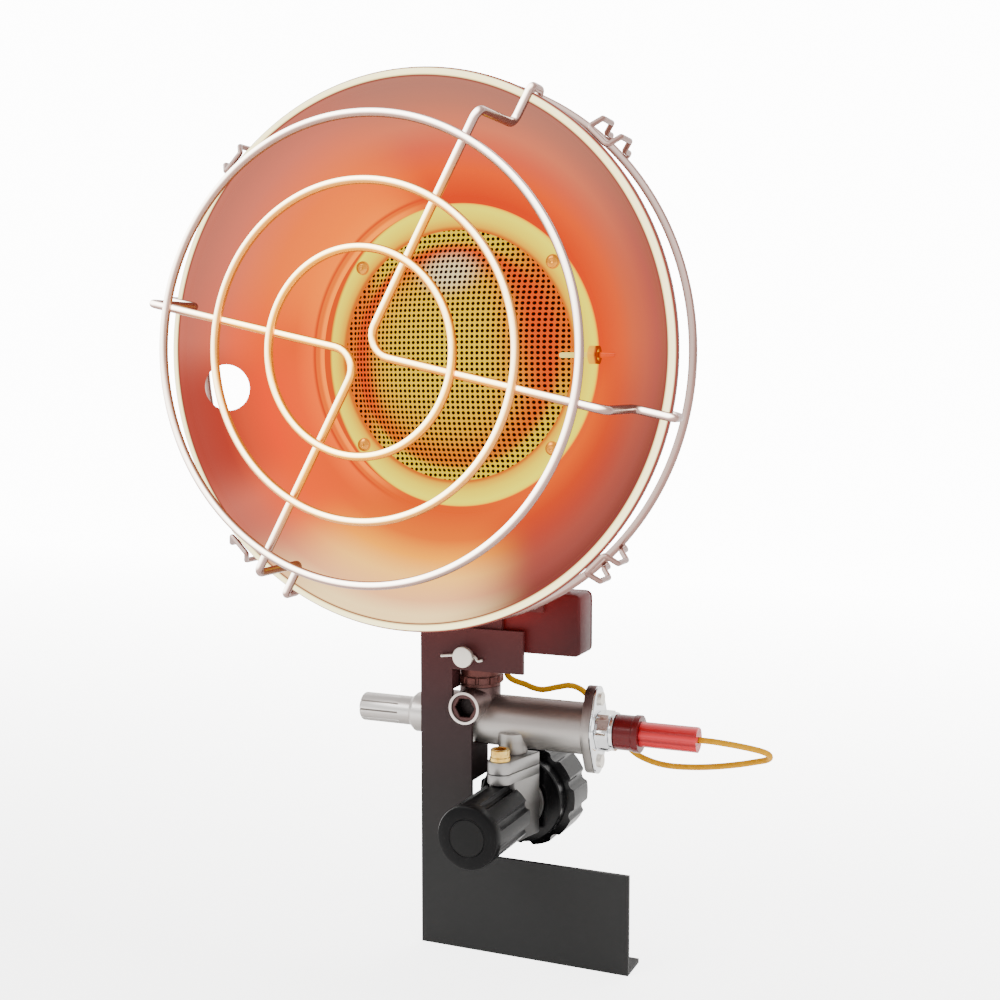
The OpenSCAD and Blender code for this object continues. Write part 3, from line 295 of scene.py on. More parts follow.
head = np.array([-20.5, -110.0, 214.5])
rim_r, roll_r, bowl_d, recess_r, sheet = 120.0, 3.0, 50.3, 72.5, 1.0
seat_d, seat_r, bulge = 53.2, 60.5, 2.5
bowl_a = np.array([1.1 * roll_r, rim_r - 1.7 * roll_r])
bowl_b = np.array([bowl_d, recess_r])
s = np.linspace(0, 1, 40)[:, None]
out = np.array([-(bowl_b - bowl_a)[1], (bowl_b - bowl_a)[0]])
out = out / np.linalg.norm(out)
inner = bowl_a + s * (bowl_b - bowl_a) + 4 * s * (1 - s) * bulge * out
outer = inner + sheet * out
turn = np.radians(np.linspace(-138, 150, 26))[:, None]
roll = np.hstack([roll_r - roll_r * np.cos(turn), (rim_r - roll_r) + roll_r * np.sin(turn)])
step_in = softened([bowl_b, (seat_d, recess_r), (seat_d, seat_r), (seat_d + sheet, seat_r),
                    (seat_d + sheet, recess_r + sheet), outer[-1]], 0.8, 4)[1:-1]
bowl_line = np.vstack([inner, step_in, outer[::-1], roll[::-1]])


def from_head(tree, place):
    """A place seen from the head's centre, the same with its depth taken out, and the length of that."""
    centred = add(tree, "Mapping", {"Location": tuple(-head / 1000)}, Vector=place)
    flat = add(tree, "VectorMath", {"operation": "MULTIPLY", 1: (1.0, 0.0, 1.0)}, _0=centred)
    return centred, flat, add(tree, "VectorMath", {"operation": "LENGTH"}, _0=flat)


# spun steel in the burner's light: its tints are a painted glow that runs from the recess (0) to the rim (1)
# over a dark, nearly matt skin, because the real glow leaves no highlight to be seen
steel, tree, place = finish_of("spun_steel_painted_glow", "BE634E", Roughness=0.4, Specular_IOR_Level=0.03)
flat, reach = from_head(tree, place)[1:]
share = add(tree, "MapRange", {"From Min": 0.070, "From Max": 0.122}, Value=reach)
aim = add(tree, "VectorMath", {"operation": "NORMALIZE"}, _0=flat)
# the first stops here, as in the ramps at 137 and 197 degrees, draw a thin painted highlight and a dark painted
# line round the recess's edge
left = {0.03: "FF7A00", 0.06: "B02800", 0.08: "E85800", 0.2: "D24400", 0.42: "DA4400", 0.58: "D44A22",
        0.72: "B7523C", 0.83: "A75242"}
tints = add(tree, "ValToRGB", {"stops": left}, Fac=share)
# these are the left side's; six more ramps take over, each around its own direction from the bowl's axis,
# and paint light and shade into the glow: paler orange to the upper left, painted shade redder and darker to the
# right and lower right, and a pale painted reflection at the bottom, where the bowl faces up
for degrees, starts, full, slow, stops in (
        (0, -0.6, 0.7, 1.0, {0.05: "C03401", 0.28: "C04419", 0.42: "B14A2C", 0.58: "A34834", 0.73: "924038",
                             0.83: "864236"}),
        (90, 0.2, 1.0, 1.0, {0.05: "BA2D00", 0.25: "CC4203", 0.42: "BE492E", 0.58: "B95E42", 0.73: "9E5C49",
                             0.83: "945B4C"}),
        (137, 0.75, 0.99, 1.0, {0.03: "FF8400", 0.06: "B43000", 0.08: "F07000", 0.2: "EA6600", 0.42: "DC5E18",
                                0.58: "CC5C36", 0.72: "B45A46", 0.83: "A25646"}),
        (197, 0.93, 0.997, 1.0, {0.03: "FF7A00", 0.06: "B02800", 0.08: "E85800", 0.2: "DC4400", 0.42: "D83600",
                                 0.58: "B83A1C", 0.72: "902C20", 0.83: "8C3228"}),
        (312, 0.6, 0.97, 1.0, {0.05: "C94900", 0.25: "AF3314", 0.42: "9B3425", 0.58: "8B3B31", 0.73: "7B3832",
                               0.83: "6A2E2A"}),
        (262, 0.72, 0.99, 2.4, {0.05: "C34500", 0.27: "D25C00", 0.42: "F59700", 0.57: "FFBA57", 0.73: "EEAA71",
                                0.83: "FFD893"})):
    toward = (math.cos(math.radians(degrees)), 0.0, math.sin(math.radians(degrees)))
    facing = add(tree, "VectorMath", {"operation": "DOT_PRODUCT", 1: toward}, _0=aim)
    taken = add(tree, "MapRange", {"From Min": starts, "From Max": full, "interpolation_type": "SMOOTHSTEP"},
                Value=facing)
    taken = add(tree, "Math", {"operation": "POWER", 1: slow}, _0=taken)
    tints = add(tree, "Mix", {"data_type": "RGBA"}, _0=taken, _6=tints,
                _7=add(tree, "ValToRGB", {"stops": stops}, Fac=share))
# the rolled rim carries a painted highlight, a pale cream band between dark lines, and painted shade on its outer
# side; its glow is brighter than the bowl's
rim = add(tree, "ValToRGB", {"stops": {
    0.885: "5A1C14", 0.9: "FFEEA8", 0.938: "FFF4B8", 0.948: "6A241C", 0.96: "572D28", 1.0: "4A2420"}}, Fac=share)
at_rim = add(tree, "MapRange", {"From Min": 0.87, "From Max": 0.882}, Value=share)
tints = add(tree, "Mix", {"data_type": "RGBA"}, _0=at_rim, _6=tints, _7=rim, to="Emission Color")
dim = add(tree, "VectorMath", {"operation": "SCALE", "Scale": 0.12}, _0=tints)
# the outside is the same steel, straw and brown at the recess and plain near the rim, and doesn't glow
outward = add(tree, "VectorMath", {"operation": "ADD", 1: (0.0, 1.0, 0.0)}, _0=aim)
facing = add(tree, "VectorMath", {"operation": "DOT_PRODUCT"}, _0=outward, _1=place.node.outputs["Normal"])
outside = add(tree, "MapRange", {"From Min": 0.5, "From Max": 0.75}, Value=facing)
straw = add(tree, "ValToRGB", {"stops": {
    0.0: "5E4038", 0.2: "7A4E3C", 0.45: "9A6E58", 0.75: "A08C84", 0.88: "8A6E68", 1.0: "6A4A44"}}, Fac=share)
add(tree, "Mix", {"data_type": "RGBA"}, _0=outside, _6=dim, _7=straw, to="Base Color")
add(tree, "Math", {"operation": "MULTIPLY", 1: 0.8}, _0=outside, to="Metallic")
roll_glow = add(tree, "MapRange", {"To Min": 2.2, "To Max": 3.6}, Value=at_rim)
# the painted glow is meant for the camera, so it lights the pieces around it only a little
direct = add(tree, "MapRange", {"To Min": 0.25}, Value=add(tree, "LightPath"))
level = add(tree, "Math", {"operation": "MULTIPLY"}, _0=roll_glow, _1=direct)
within = add(tree, "MapRange", {"To Min": 1.0, "To Max": 0.0}, Value=outside)
add(tree, "Math", {"operation": "MULTIPLY"}, _0=level, _1=within, to="Emission Strength")
grained(tree, place, 700.0, 0.04, 0.0002, detail=3.0)


def around(r, degrees, d=0.0):
    """A point of the head at radius r, at that angle from +X towards +Z, d behind the rim plane."""
    a = math.radians(degrees)
    return head + np.array([r * math.cos(a), d, r * math.sin(a)])


def cut(o, cutter):
    """Takes the cutter's solid out of o for good, keeps the finishes and removes the cutter."""
    m = o.modifiers.new("cut", "BOOLEAN")
    m.operation, m.object, m.solver = "DIFFERENCE", cutter, "EXACT"
    bpy.context.view_layer.update()
    me = bpy.data.meshes.new_from_object(o.evaluated_get(bpy.context.evaluated_depsgraph_get()))
    o.modifiers.clear()
    o.data = me
    shaded(me)
    bpy.data.objects.remove(cutter)


reflector = placed("reflector_bowl", lathed(*bowl_line.T, head, steps=256, closed=True), steel)
hole_degrees, hole_at, hole_r = 188, 101.8, 10.8
hole_c = bowl_a + (bowl_a[1] - hole_at) / (bowl_a[1] - bowl_b[1]) * (bowl_b - bowl_a)
across_wall = around(out[1], hole_degrees, out[0]) - head
bore = around(hole_c[1], hole_degrees, hole_c[0]) + np.linspace(-10, 10, 3)[:, None] * across_wall
cut(reflector, placed("hole_cutter", carried(bore, hole_r, 64)))
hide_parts("reflector")
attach(reflector, "frame")

# ---- Burner -------------------------------------------------------------------
# A perforated steel dome glows in front of a pressed cup. A flat ring with four
# screws clamps both to the recess, over a fibre gasket.

# flat steel ring over the mesh's flange, so bright with heat that it has no highlight: its tone runs from
# its inner edge (0) to its outer one (1)
hot_ring, tree, place = finish_of("glowing_clamp_steel", "1E1800", Roughness=0.5, Specular_IOR_Level=0.02,
                                  Emission_Strength=1.9)
flat, reach = from_head(tree, place)[1:]
split = add(tree, "SeparateXYZ", Vector=add(tree, "VectorMath", {"operation": "NORMALIZE"}, _0=flat))
out_share = add(tree, "MapRange", {"From Min": 0.058, "From Max": 0.0695}, Value=reach)
gold = add(tree, "ValToRGB", {"stops": {
    0.0: "C85C00", 0.12: "E8A400", 0.4: "F4D400", 0.8: "FFEE10", 0.93: "FFE400", 1.0: "F87800"}}, Fac=out_share)
# on its left the ring's outer edge reflects the orange wall of the recess
leftness = add(tree, "MapRange", {"From Max": -1.0, "To Max": 1.0}, Value=split.outputs["X"])
eased_left = add(tree, "Math", {"operation": "POWER", 1: 2.0}, _0=leftness)
rim_at = add(tree, "Math", {"operation": "MULTIPLY_ADD", 1: -0.0046, 2: 0.0702}, _0=eased_left)
beyond = add(tree, "Math", {"operation": "SUBTRACT"}, _0=reach, _1=rim_at)
wall = add(tree, "MapRange", {"From Min": -0.0009, "From Max": 0.0005}, Value=beyond)
add(tree, "Mix", {"data_type": "RGBA", 7: "D04000"}, _0=wall, _6=gold, to="Emission Color")
ring_line = softened([(52.0, 57.4), (52.0, 68.2), (52.4, 69.5), (seat_d, 69.5), (seat_d, 57.4)], 0.35, loop=True)
clamp = placed("clamping_ring_glow", lathed(*ring_line.T, head, steps=192, closed=True), hot_ring)
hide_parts("clamping_ring")
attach(clamp, "frame")

# pressed sheet with perforations 1.6 mm across on a square pitch: it glows yellow, orange-red on its right and
# round its foot, with one pale spot near its top
pitch = 2.45
mesh_glow, tree, place = finish_of("glowing_perforated_steel", "FFB52A", Roughness=0.6, Specular_IOR_Level=0.02,
                                   Emission_Strength=1.35)
centred, flat, reach = from_head(tree, place)
cell = add(tree, "VectorMath", {"operation": "SCALE", "Scale": 1000 / pitch}, _0=flat)
part = add(tree, "VectorMath", {"operation": "FRACTION"}, _0=cell)
middle = add(tree, "VectorMath", {"operation": "SUBTRACT", 1: (0.5, 0.0, 0.5)}, _0=part)
off = add(tree, "VectorMath", {"operation": "LENGTH"}, _0=middle)
hole = add(tree, "MapRange", {"From Min": 0.31, "From Max": 0.36}, Value=off)
share = add(tree, "MapRange", {"From Min": 0.0, "From Max": 0.056}, Value=reach)
hot = add(tree, "ValToRGB", {"stops": {
    0.0: "FFD800", 0.5: "FFC800", 0.68: "FBAC00", 0.78: "F07000", 0.86: "EC4800", 0.93: "FFA400",
    1.0: "FFDC00"}}, Fac=share)
split = add(tree, "SeparateXYZ", Vector=centred)
redder = add(tree, "MapRange", {"From Min": 0.018, "From Max": 0.042, "To Max": 0.95,
                                "interpolation_type": "SMOOTHSTEP"}, Value=split.outputs["X"])
level = add(tree, "MapRange", {"From Min": -0.04, "From Max": 0.012, "interpolation_type": "SMOOTHSTEP"},
            Value=split.outputs["Z"])
red_side = add(tree, "Math", {"operation": "MULTIPLY"}, _0=redder, _1=level)
tints = add(tree, "Mix", {"data_type": "RGBA", 7: "F04C00"}, _0=red_side, _6=hot)
amber = add(tree, "MapRange", {"From Min": -0.012, "From Max": -0.05, "To Max": 0.6}, Value=split.outputs["Z"])
tints = add(tree, "Mix", {"data_type": "RGBA", 7: "E08A00"}, _0=amber, _6=tints)
squeezed = add(tree, "VectorMath", {"operation": "MULTIPLY", 1: (1.0, 0.0, 1.6)}, _0=centred)
spot = add(tree, "VectorMath", {"operation": "DISTANCE", 1: (0.0, 0.0, 0.06)}, _0=squeezed)
pale = add(tree, "MapRange", {"From Min": 0.02, "From Max": 0.004, "To Max": 0.8,
                              "interpolation_type": "SMOOTHSTEP"}, Value=spot)
tints = add(tree, "Mix", {"data_type": "RGBA", 7: "FFEFB8"}, _0=pale, _6=tints)
lip = add(tree, "MapRange", {"From Min": 0.0505, "From Max": 0.053}, Value=reach)
lip_tone = add(tree, "Mix", {"data_type": "RGBA", 6: "F8D000", 7: "F05800"}, _0=red_side)
tints = add(tree, "Mix", {"data_type": "RGBA"}, _0=lip, _6=tints, _7=lip_tone)
left_red = add(tree, "MapRange", {"From Min": -0.034, "From Max": -0.048, "To Max": 0.85,
                                  "interpolation_type": "SMOOTHSTEP"}, Value=split.outputs["X"])
tints = add(tree, "Mix", {"data_type": "RGBA", 7: "F04800"}, _0=left_red, _6=tints)
holes = add(tree, "Mix", {"data_type": "RGBA", 6: "1A0200"}, _0=hole, _7=tints, to="Emission Color")
add(tree, "VectorMath", {"operation": "SCALE", "Scale": 0.06}, _0=holes, to="Base Color")
dome_r, dome_h, screen_t = 54, 13, 0.8
r = np.linspace(0.3, dome_r, 60)
dome = np.column_stack([seat_d - dome_h * (1 - (r / dome_r) ** 3), r])
flange = [(seat_d, 56), (seat_d, 60.1), (seat_d + screen_t, 60.1), (seat_d + screen_t, 56)]
dome = np.vstack([dome, flange, (dome + [screen_t, 0])[::-1]])
screen = placed("burner_dome", lathed(*dome.T, head, steps=160), mesh_glow)
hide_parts("burner_screen")
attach(screen, "frame")

# zinc-plated screws, straw-coloured by the heat and warm in the mesh's light
head_screw, tree, place = finish_of("hot_plated_screw", "D08428", Metallic=0.9, Roughness=0.25,
                                    Emission_Color="FFA800", Emission_Strength=0.4)
grained(tree, place, 1800.0, 0.1, 0.0001)


def joined(*solids):
    """Several (points, faces) as one."""
    points, faces, base = [], [], 0
    for p, f in solids:
        points.append(np.asarray(p))
        faces += [[i + base for i in q] for q in f]
        base += len(p)
    return np.vstack(points), faces


screw_r = 63.4
pan = softened([(50.3, 0.3), (50.0, 1.0), (50.05, 1.7), (50.7, 3.0), (51.9, 3.35), (51.98, 3.35), (51.98, 1.55),
                (57, 1.55)], 0.3)
screws = placed("clamp_screws_pan", joined(*[
    lathed(*pan.T, around(screw_r, a), steps=32) for a in (41, 139, 221, -41)]), head_screw)
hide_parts("clamp_screws")
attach(screws, "frame")

probe_at = head + [0, 45.3, 0]
probe_rod = softened([(53.6, 0.2), (53.8, 0.9), (54.6, 1.2), (67.4, 1.2), (67.6, 1.3), (83.6, 1.3), (83.8, 2.5),
                      (91.0, 2.55), (91.3, 2.3), (91.3, 0.3)], 0.2)
# turned brass, browned by the flame in patches of 1 mm
probe_brass, tree, place = finish_of("hot_probe_brass", "E8C060", Metallic=0.8, Roughness=0.28,
                                     Emission_Strength=1.6)
scale = add(tree, "TexNoise", {"Scale": 900.0}, Vector=place)
tint = add(tree, "ValToRGB", {"stops": {0.35: "D89A38", 0.65: "F4D27A"}}, Fac=scale)
# its tip and inner nut glow, its root is as dark as the bowl's wall, and outside it is plain brass
root = add(tree, "SeparateXYZ", Vector=place)
cool = add(tree, "MapRange", {"From Min": 0.060, "From Max": 0.062}, Value=root.outputs["X"])
add(tree, "Mix", {"data_type": "RGBA", 6: "3A1406"}, _0=cool, _7=tint, to="Base Color")
along = add(tree, "MapRange", {"From Min": 0.033, "From Max": 0.065}, Value=root.outputs["X"])
# the dark band at the inner nut's outer end is painted shade, on the face turned away from the burner
add(tree, "ValToRGB", {"stops": {
    0.0: "FFF080", 0.42: "FFE040", 0.45: "FFBC00", 0.54: "F8A800", 0.56: "A83C00", 0.585: "7A2400",
    0.62: "E84A00", 0.8: "E04000", 0.88: "000000"}}, to="Emission Color", Fac=along)
probe = placed("thermocouple_rod", lathed(*probe_rod.T, probe_at, axis="x", steps=32), probe_brass)
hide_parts("thermocouple")
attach(probe, "frame")


def hexagon(corner_r, shift=0.0):
    """The radius of a hexagon at 96 even angles a, in degrees: corner_r*cos 30 / cos((a + shift) mod 60 - 30)."""
    a = np.linspace(0, 360, 96, endpoint=False)
    return corner_r * math.cos(math.pi / 6) / np.cos(np.radians((a + shift) % 60 - 30))


def six_sided(x0, x1, corner_r, bore_r, cone):
    """(along, radius) rows of a hexagon nut from x0 to x1: the radius is the less of the hexagon's and of the
    chamfer's, which is cone wide and 0.58 (tan 30) of that deep at each end, and the bore closes the loop."""
    rows = np.array([x0, x0, x0 + cone * 0.58, x1 - cone * 0.58, x1, x1])
    caps = np.array([0, corner_r - cone, corner_r, corner_r, corner_r - cone, 0])
    rad = np.minimum(hexagon(corner_r)[None], caps[:, None])
    rad[[0, -1]] = bore_r
    return rows, rad


probe_nuts = placed("probe_nuts_hex", joined(*[
    lathed(*six_sided(x, x + 4, 4.6, 2.66, 0.5), probe_at, axis="x", closed=True) for x in (68.0, 84.57)]),
    probe_brass)
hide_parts("thermocouple_nuts")
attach(probe_nuts, "frame")

# ---- Guard rings, guard wires, rear ring and clips -----------------------------
# Spring steel wire, 3.6 mm, bright nickel over copper. The rings are butt-welded
# loops; the bent wires are welded behind them and hook over the rolled rim.

# bright nickel under painted light: a painted near-white highlight towards the softbox, a painted gold glow where
# it crosses the burner and painted dusky pink beyond, darkening to painted shade at the wire's edges; the rear
# ring and the clips hang outside the glow and their painted light is duller
nickel_wire, tree, place = finish_of("bright_nickel_wire", "947C74", Metallic=0.8, Roughness=0.2)
warm_wire, warm_tree, warm_place = finish_of("wire_painted_highlight_and_shade", "866A62", Metallic=0.8, Roughness=0.3)
dull = ("4A1C18", "8C5C50", "ECD2C6")
for tree, place, far, near, level, metal in (
        (tree, place, ("5A221A", "C49C8C", "FFF4E4"), ("B04400", "F4A800", "FFF0B8"), 9.0, ("D8900C", "947C74")),
        (warm_tree, warm_place, dull, dull, 1.3, ("866A62", "866A62"))):
    normal = place.node.outputs["Normal"]
    facing = add(tree, "VectorMath", {"operation": "DOT_PRODUCT", 1: (-0.1, -0.75, 0.65)}, _0=normal)
    lamp_side = add(tree, "MapRange", {"From Min": 0.05, "From Max": 0.95}, Value=facing)
    front = add(tree, "VectorMath", {"operation": "DOT_PRODUCT", 1: (-0.2, -0.98, 0.0)}, _0=normal)
    crown = add(tree, "MapRange", {"From Min": 0.05, "From Max": 0.85}, Value=front)
    turned_to = add(tree, "Math", {"operation": "MINIMUM"}, _0=lamp_side, _1=crown)
    reach = from_head(tree, place)[2]
    outside = add(tree, "MapRange", {"From Min": 0.06, "From Max": 0.095}, Value=reach)
    shades = [add(tree, "ValToRGB", {"stops": dict(zip((0.1, 0.5, 0.8), c))}, Fac=turned_to) for c in (near, far)]
    add(tree, "Mix", {"data_type": "RGBA"}, to="Emission Color", _0=outside, _6=shades[0], _7=shades[1])
    add(tree, "Mix", {"data_type": "RGBA", 6: metal[0], 7: metal[1]}, to="Base Color", _0=outside)
    add(tree, "MapRange", {"From Min": 0.5, "From Max": 0.9, "To Min": 0.8, "To Max": level},
        to="Emission Strength", Value=turned_to)
    haze = add(tree, "TexNoise", {"Scale": 70.0, "Detail": 3.0}, Vector=place)
    add(tree, "MapRange", {"To Min": 0.12, "To Max": 0.28}, Value=haze, to="Roughness")
    grained(tree, place, 1500.0, 0.05, 0.0001)
wire_r, front_d, rear_r, rear_d = 1.8, -40.5, 119.3, 26.0
a = circle(20)
for name, node, r, d in (("guard_ring_wide", "guard_ring_outer", 93.8, front_d),
                         ("guard_ring_mid", "guard_ring_middle", 67.9, front_d),
                         ("guard_ring_small", "guard_ring_inner", 41.6, front_d),
                         ("rear_ring_wire", "rear_guard_ring", rear_r, rear_d)):
    ring = placed(name, lathed(d + wire_r * np.cos(a), r + wire_r * np.sin(a), head, steps=240, closed=True),
                  warm_wire if d > 0 else nickel_wire)
    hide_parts(node)
    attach(ring, "frame")


def bent(points, radii, per):
    """A line whose corners are bent on the given radii, in per steps. Each is the round arc
    M + (sin((1-k)T)*S + sin(kT)*E) / sin T, where T is the turn and S and E lead from the centre M to its ends."""
    p = [np.asarray(q, float) for q in points]
    line = [p[0]]
    for before, b, after, r in zip(p, p[1:], p[2:], radii):
        u, v = (before - b) / np.linalg.norm(before - b), (after - b) / np.linalg.norm(after - b)
        w = math.acos(max(-1, min(1, float(u @ v))))
        mid = b + (u + v) / np.linalg.norm(u + v) * r / math.sin(w / 2)
        s, e = b + u * r / math.tan(w / 2) - mid, b + v * r / math.tan(w / 2) - mid
        turn = math.pi - w
        k = np.linspace(0, 1, per + 1)[:, None]
        line += list(mid + (np.sin((1 - k) * turn) * s + np.sin(k * turn) * e) / math.sin(turn))
    return np.array(line + [p[-1]])


wire_d, leg_r, in_front, behind, hook_r, tip_r = -36.9, 105.5, -2.1, 8.1, 122.1, 117.0
for name, node, first, second, sign in (("guard_bent_left", "guard_wire_left", 168, 241, -1),
                                        ("guard_bent_right", "guard_wire_right", 61, -12.2, 1)):
    corner = head + np.array([0, wire_d, 0.3 * sign])
    legs = [[around(r, a, d) for r, d in ((tip_r, behind), (hook_r, behind), (hook_r, in_front),
                                          (leg_r, in_front), (leg_r, wire_d))] for a in (first, second)]
    line = bent(legs[0] + [corner] + legs[1][::-1], [2.1, 2.1, 4, 4, 9, 4, 4, 2.1, 2.1], 8)
    wire = placed(name, carried(line, wire_r, 20), nickel_wire)
    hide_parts(node)
    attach(wire, "frame")

clip_r, half, slack = 1.2, 5.5, 0.1
over_r, bar_r = rear_r + wire_r + clip_r + slack, rim_r + clip_r + slack
back_d = rear_d + wire_r + clip_r + slack
prong = [(rear_r - wire_r, back_d), (over_r, back_d), (over_r, 22.4), (127, 19.5), (127, 7.8), (bar_r, 2.0)]
clips = []
for a in (45, 135, 225, 315):
    c, sn = math.cos(math.radians(a)), math.sin(math.radians(a))
    points = [(r, -half, d) for r, d in prong] + [(r, half, d) for r, d in prong[::-1]]
    line = [head + np.array([r * c - t * sn, d, r * sn + t * c]) for r, t, d in points]
    clips.append(carried(bent(line, [1.3] * 10, 5), clip_r, 14))
clip = placed("rim_clips_wire", joined(*clips), warm_wire)
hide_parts("rim_clips")
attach(clip, "frame")

# ---- Burner cup and mixing tube -------------------------------------------------
# A pressed steel cup behind the bowl takes the gas mix from a bent steel tube.
# Both are scaled brown and blue by the heat.

# mill scale: blotches of brown and blue oxide some 18 mm across, straw-coloured near the burner
scaled_steel, tree, place = finish_of("heat_scaled_steel", "5A4038", Metallic=0.75, Roughness=0.45)
up = add(tree, "SeparateXYZ", Vector=place)
high = add(tree, "MapRange", {"From Min": 0.0445, "From Max": 0.2345}, Value=up.outputs["Z"])
blotch = add(tree, "TexNoise", {"Scale": 55.0, "Detail": 6.0, "Roughness": 0.6}, Vector=place)
mixed = add(tree, "Math", {"operation": "MULTIPLY_ADD", 1: 0.35}, _0=blotch, _2=high)
add(tree, "ValToRGB", {"stops": {
    0.1: "4A3432", 0.35: "6A3A34", 0.6: "8A5038", 0.85: "6E6A78", 1.0: "9A7A58"}}, Fac=mixed, to="Base Color")
add(tree, "Bump", {"Strength": 0.12, "Distance": 0.0003}, Height=blotch, to="Normal")
cup_line = softened([(55.0, 56.8), (55.0, 67.7), (56.2, 67.7), (56.2, 58.0), (67.2, 58.0), (67.2, 10.15),
                     (66.0, 10.15), (66.0, 56.8)], 1.0, loop=True)
cup = placed("burner_cup_pressed", lathed(*cup_line.T, head, steps=160, closed=True), scaled_steel)
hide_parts("burner_cup")
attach(cup, "frame")
tube_at = np.array([-20.5, -30, 0])
tube_top = bent(tube_at + [(0, 0, 55.85), (0, 0, 214.5), (0, -14.8, 214.5)], [12], 14)
notch = 0.9 * (np.abs((circle(144) * 12 / (2 * np.pi)) % 1 - 0.5) < 0.14)
notched = (9.9, 11.0 - notch, 11.3 - notch, 11.3 - notch, 11.0 - notch, 9.9)
tube = placed("mixing_tube_bent", joined(
    carried(tube_top, 10.0, 64),
    lathed([57.4, 57.4, 57.7, 60.6, 60.9, 60.9], notched, tube_at, axis="z")), scaled_steel)
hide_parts("mixing_tube")
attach(tube, "frame")

# ---- Support bracket -----------------------------------------------------------
# Laser-cut 2 mm mild steel, folded at the foot, powder coated satin charcoal. Its
# colour turns red-brown towards its upper end.

# powder coat: a fine orange peel under a low sheen
powder, tree, place = finish_of("charcoal_powder_coat", "262626", Roughness=0.5, Specular_IOR_Level=0.18)
up = add(tree, "SeparateXYZ", Vector=place)
high = add(tree, "MapRange", {"From Min": -0.025, "From Max": 0.1}, Value=up.outputs["Z"])
add(tree, "ValToRGB", {"stops": {
    0.0: "232323", 0.25: "272222", 0.55: "352425", 0.8: "4A2425", 0.95: "5C2322"}}, Fac=high, to="Base Color")
grained(tree, place, 1300.0, 0.12, 0.0001, detail=3.0)


def refinished(finish, *nodes):
    """Gives the frame's own pieces of those names that finish, and returns them."""
    pieces = [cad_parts[node] for node in nodes]
    for o in pieces:
        o.data.materials.clear()
        o.data.materials.append(finish)
    return pieces


for o in refinished(powder, "support_bracket", "head_bracket"):
    worn = o.modifiers.new("broken_edges", "BEVEL")
    worn.width, worn.segments, worn.limit_method, worn.angle_limit = 0.0003, 2, "ANGLE", math.radians(50)

# ---- Clevis pin and cotter -----------------------------------------------------
# A turned, bright-zinc pin joins the two brackets through the ear, and a bent
# cotter of 1.4 mm wire keeps it.

# bright zinc plate: pale, with a gloss that is a little uneven
bright_zinc, tree, place = finish_of("bright_zinc_plate", "E6DFD4", Metallic=0.75, Roughness=0.3)
fleck = grained(tree, place, 1100.0, 0.06, 0.0001, detail=4.0)
add(tree, "MapRange", {"To Min": 0.22, "To Max": 0.42}, Value=fleck, to="Roughness")
pin_at = np.array([-20.5, 0, 72.8])
pin_line = softened([(-51.8, 0.4), (-51.8, 5.05), (-49.25, 5.05), (-49.2, 3.4), (-41.0, 3.4), (-40.92, 0.4)],
                    0.5, 4)
pin = placed("clevis_pin_turned", lathed(*pin_line.T, pin_at, steps=64), bright_zinc)
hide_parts("clevis_pin")
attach(pin, "frame")
split_wire = pin_at - [0, 47.6, 0] + [(-12.8, 0, -0.9), (-8, 0, -0.3), (-4.6, 0, 0), (-3, 0, 0), (0, 0, 0),
                                      (3, 0, 0), (4.6, 0, 0), (6.4, 0, -1.9), (8.8, 0, -1.5)]
cotter = placed("cotter_wire", carried(eased(split_wire, 4), 0.72, 12), bright_zinc)
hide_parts("cotter_pin")
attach(cotter, "frame")
refinished(bright_zinc, "switch_screws", "end_plate_screws", "pendulum_pin", "nut_circlip", "valve_stem")

# ---- Tip-over switch ------------------------------------------------------------
# A moulded phenolic box behind the ear, deep red-brown in the burner's light, with
# a pressed-on cover and one brass spade at the back.

# phenolic: a dull gloss over deep red with clouds of 8 mm, brighter on the side towards the burner
phenolic, tree, place = finish_of("deep_red_phenolic", "501517", Roughness=0.45, Specular_IOR_Level=0.2)
cloud = add(tree, "TexNoise", {"Scale": 120.0, "Detail": 5.0}, Vector=place)
lit_side = add(tree, "VectorMath", {"operation": "DOT_PRODUCT", 1: (-0.6, 0.0, 0.8)}, _0=place)
redder = add(tree, "MapRange", {"From Min": 0.045, "From Max": 0.088}, Value=lit_side)
mottled = add(tree, "Math", {"operation": "MULTIPLY_ADD", 1: 0.15}, _0=cloud, _2=redder)
add(tree, "ValToRGB", {"stops": {
    0.1: "3E0E10", 0.5: "5A1112", 1.0: "98140E"}}, Fac=mottled, to="Base Color")
grained(tree, place, 1600.0, 0.1, 0.0001)


def block(outline, lo, hi, ease, axis):
    """(points, faces) of a flat-ended block along y or z: the outline moved in by m*ease along its mitred
    normals, with m = 1, 0.3, 0 at steps of 0, 0.3 and 1 ease from each end, so that its edges are round."""
    p = np.asarray(outline, float)
    p = p if (p[:, 0] * np.roll(p[:, 1], -1) - np.roll(p[:, 0], -1) * p[:, 1]).sum() > 0 else p[::-1]
    e = np.roll(p, -1, axis=0) - p
    n = np.column_stack([e[:, 1], -e[:, 0]]) / np.linalg.norm(e, axis=1)[:, None]
    n = n + np.roll(n, 1, axis=0)
    n /= (n ** 2).sum(1)[:, None] / 2
    t = np.array([lo, lo + 0.3 * ease, lo + ease, hi - ease, hi - 0.3 * ease, hi])
    flat = p[None] - (ease * np.array([1, 0.3, 0, 0, 0.3, 1]))[:, None, None] * n[None]
    t = np.repeat(t[:, None], len(p), 1)
    q = np.stack([flat[..., 0], t, flat[..., 1]] if axis == "y" else [flat[..., 0], flat[..., 1], t], -1)
    faces = skinned(6, len(p))
    return q.reshape(-1, 3), [f[::-1] for f in faces] if axis == "y" else faces


box = softened([(-4.5, 75.1), (35.3, 75.1), (35.3, 104.6), (-4.5, 104.6)], 3.6, 8, loop=True)
for name, node, lo, hi, ease in (("switch_case_moulded", "switch_housing", -41.78, -26.1, 1.1),
                                 ("switch_lid_moulded", "switch_cover", -26.05, -24.5, 0.5)):
    case = placed(name, block(box, lo, hi, ease, "y"), phenolic)
    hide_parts(node)
    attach(case, "frame")
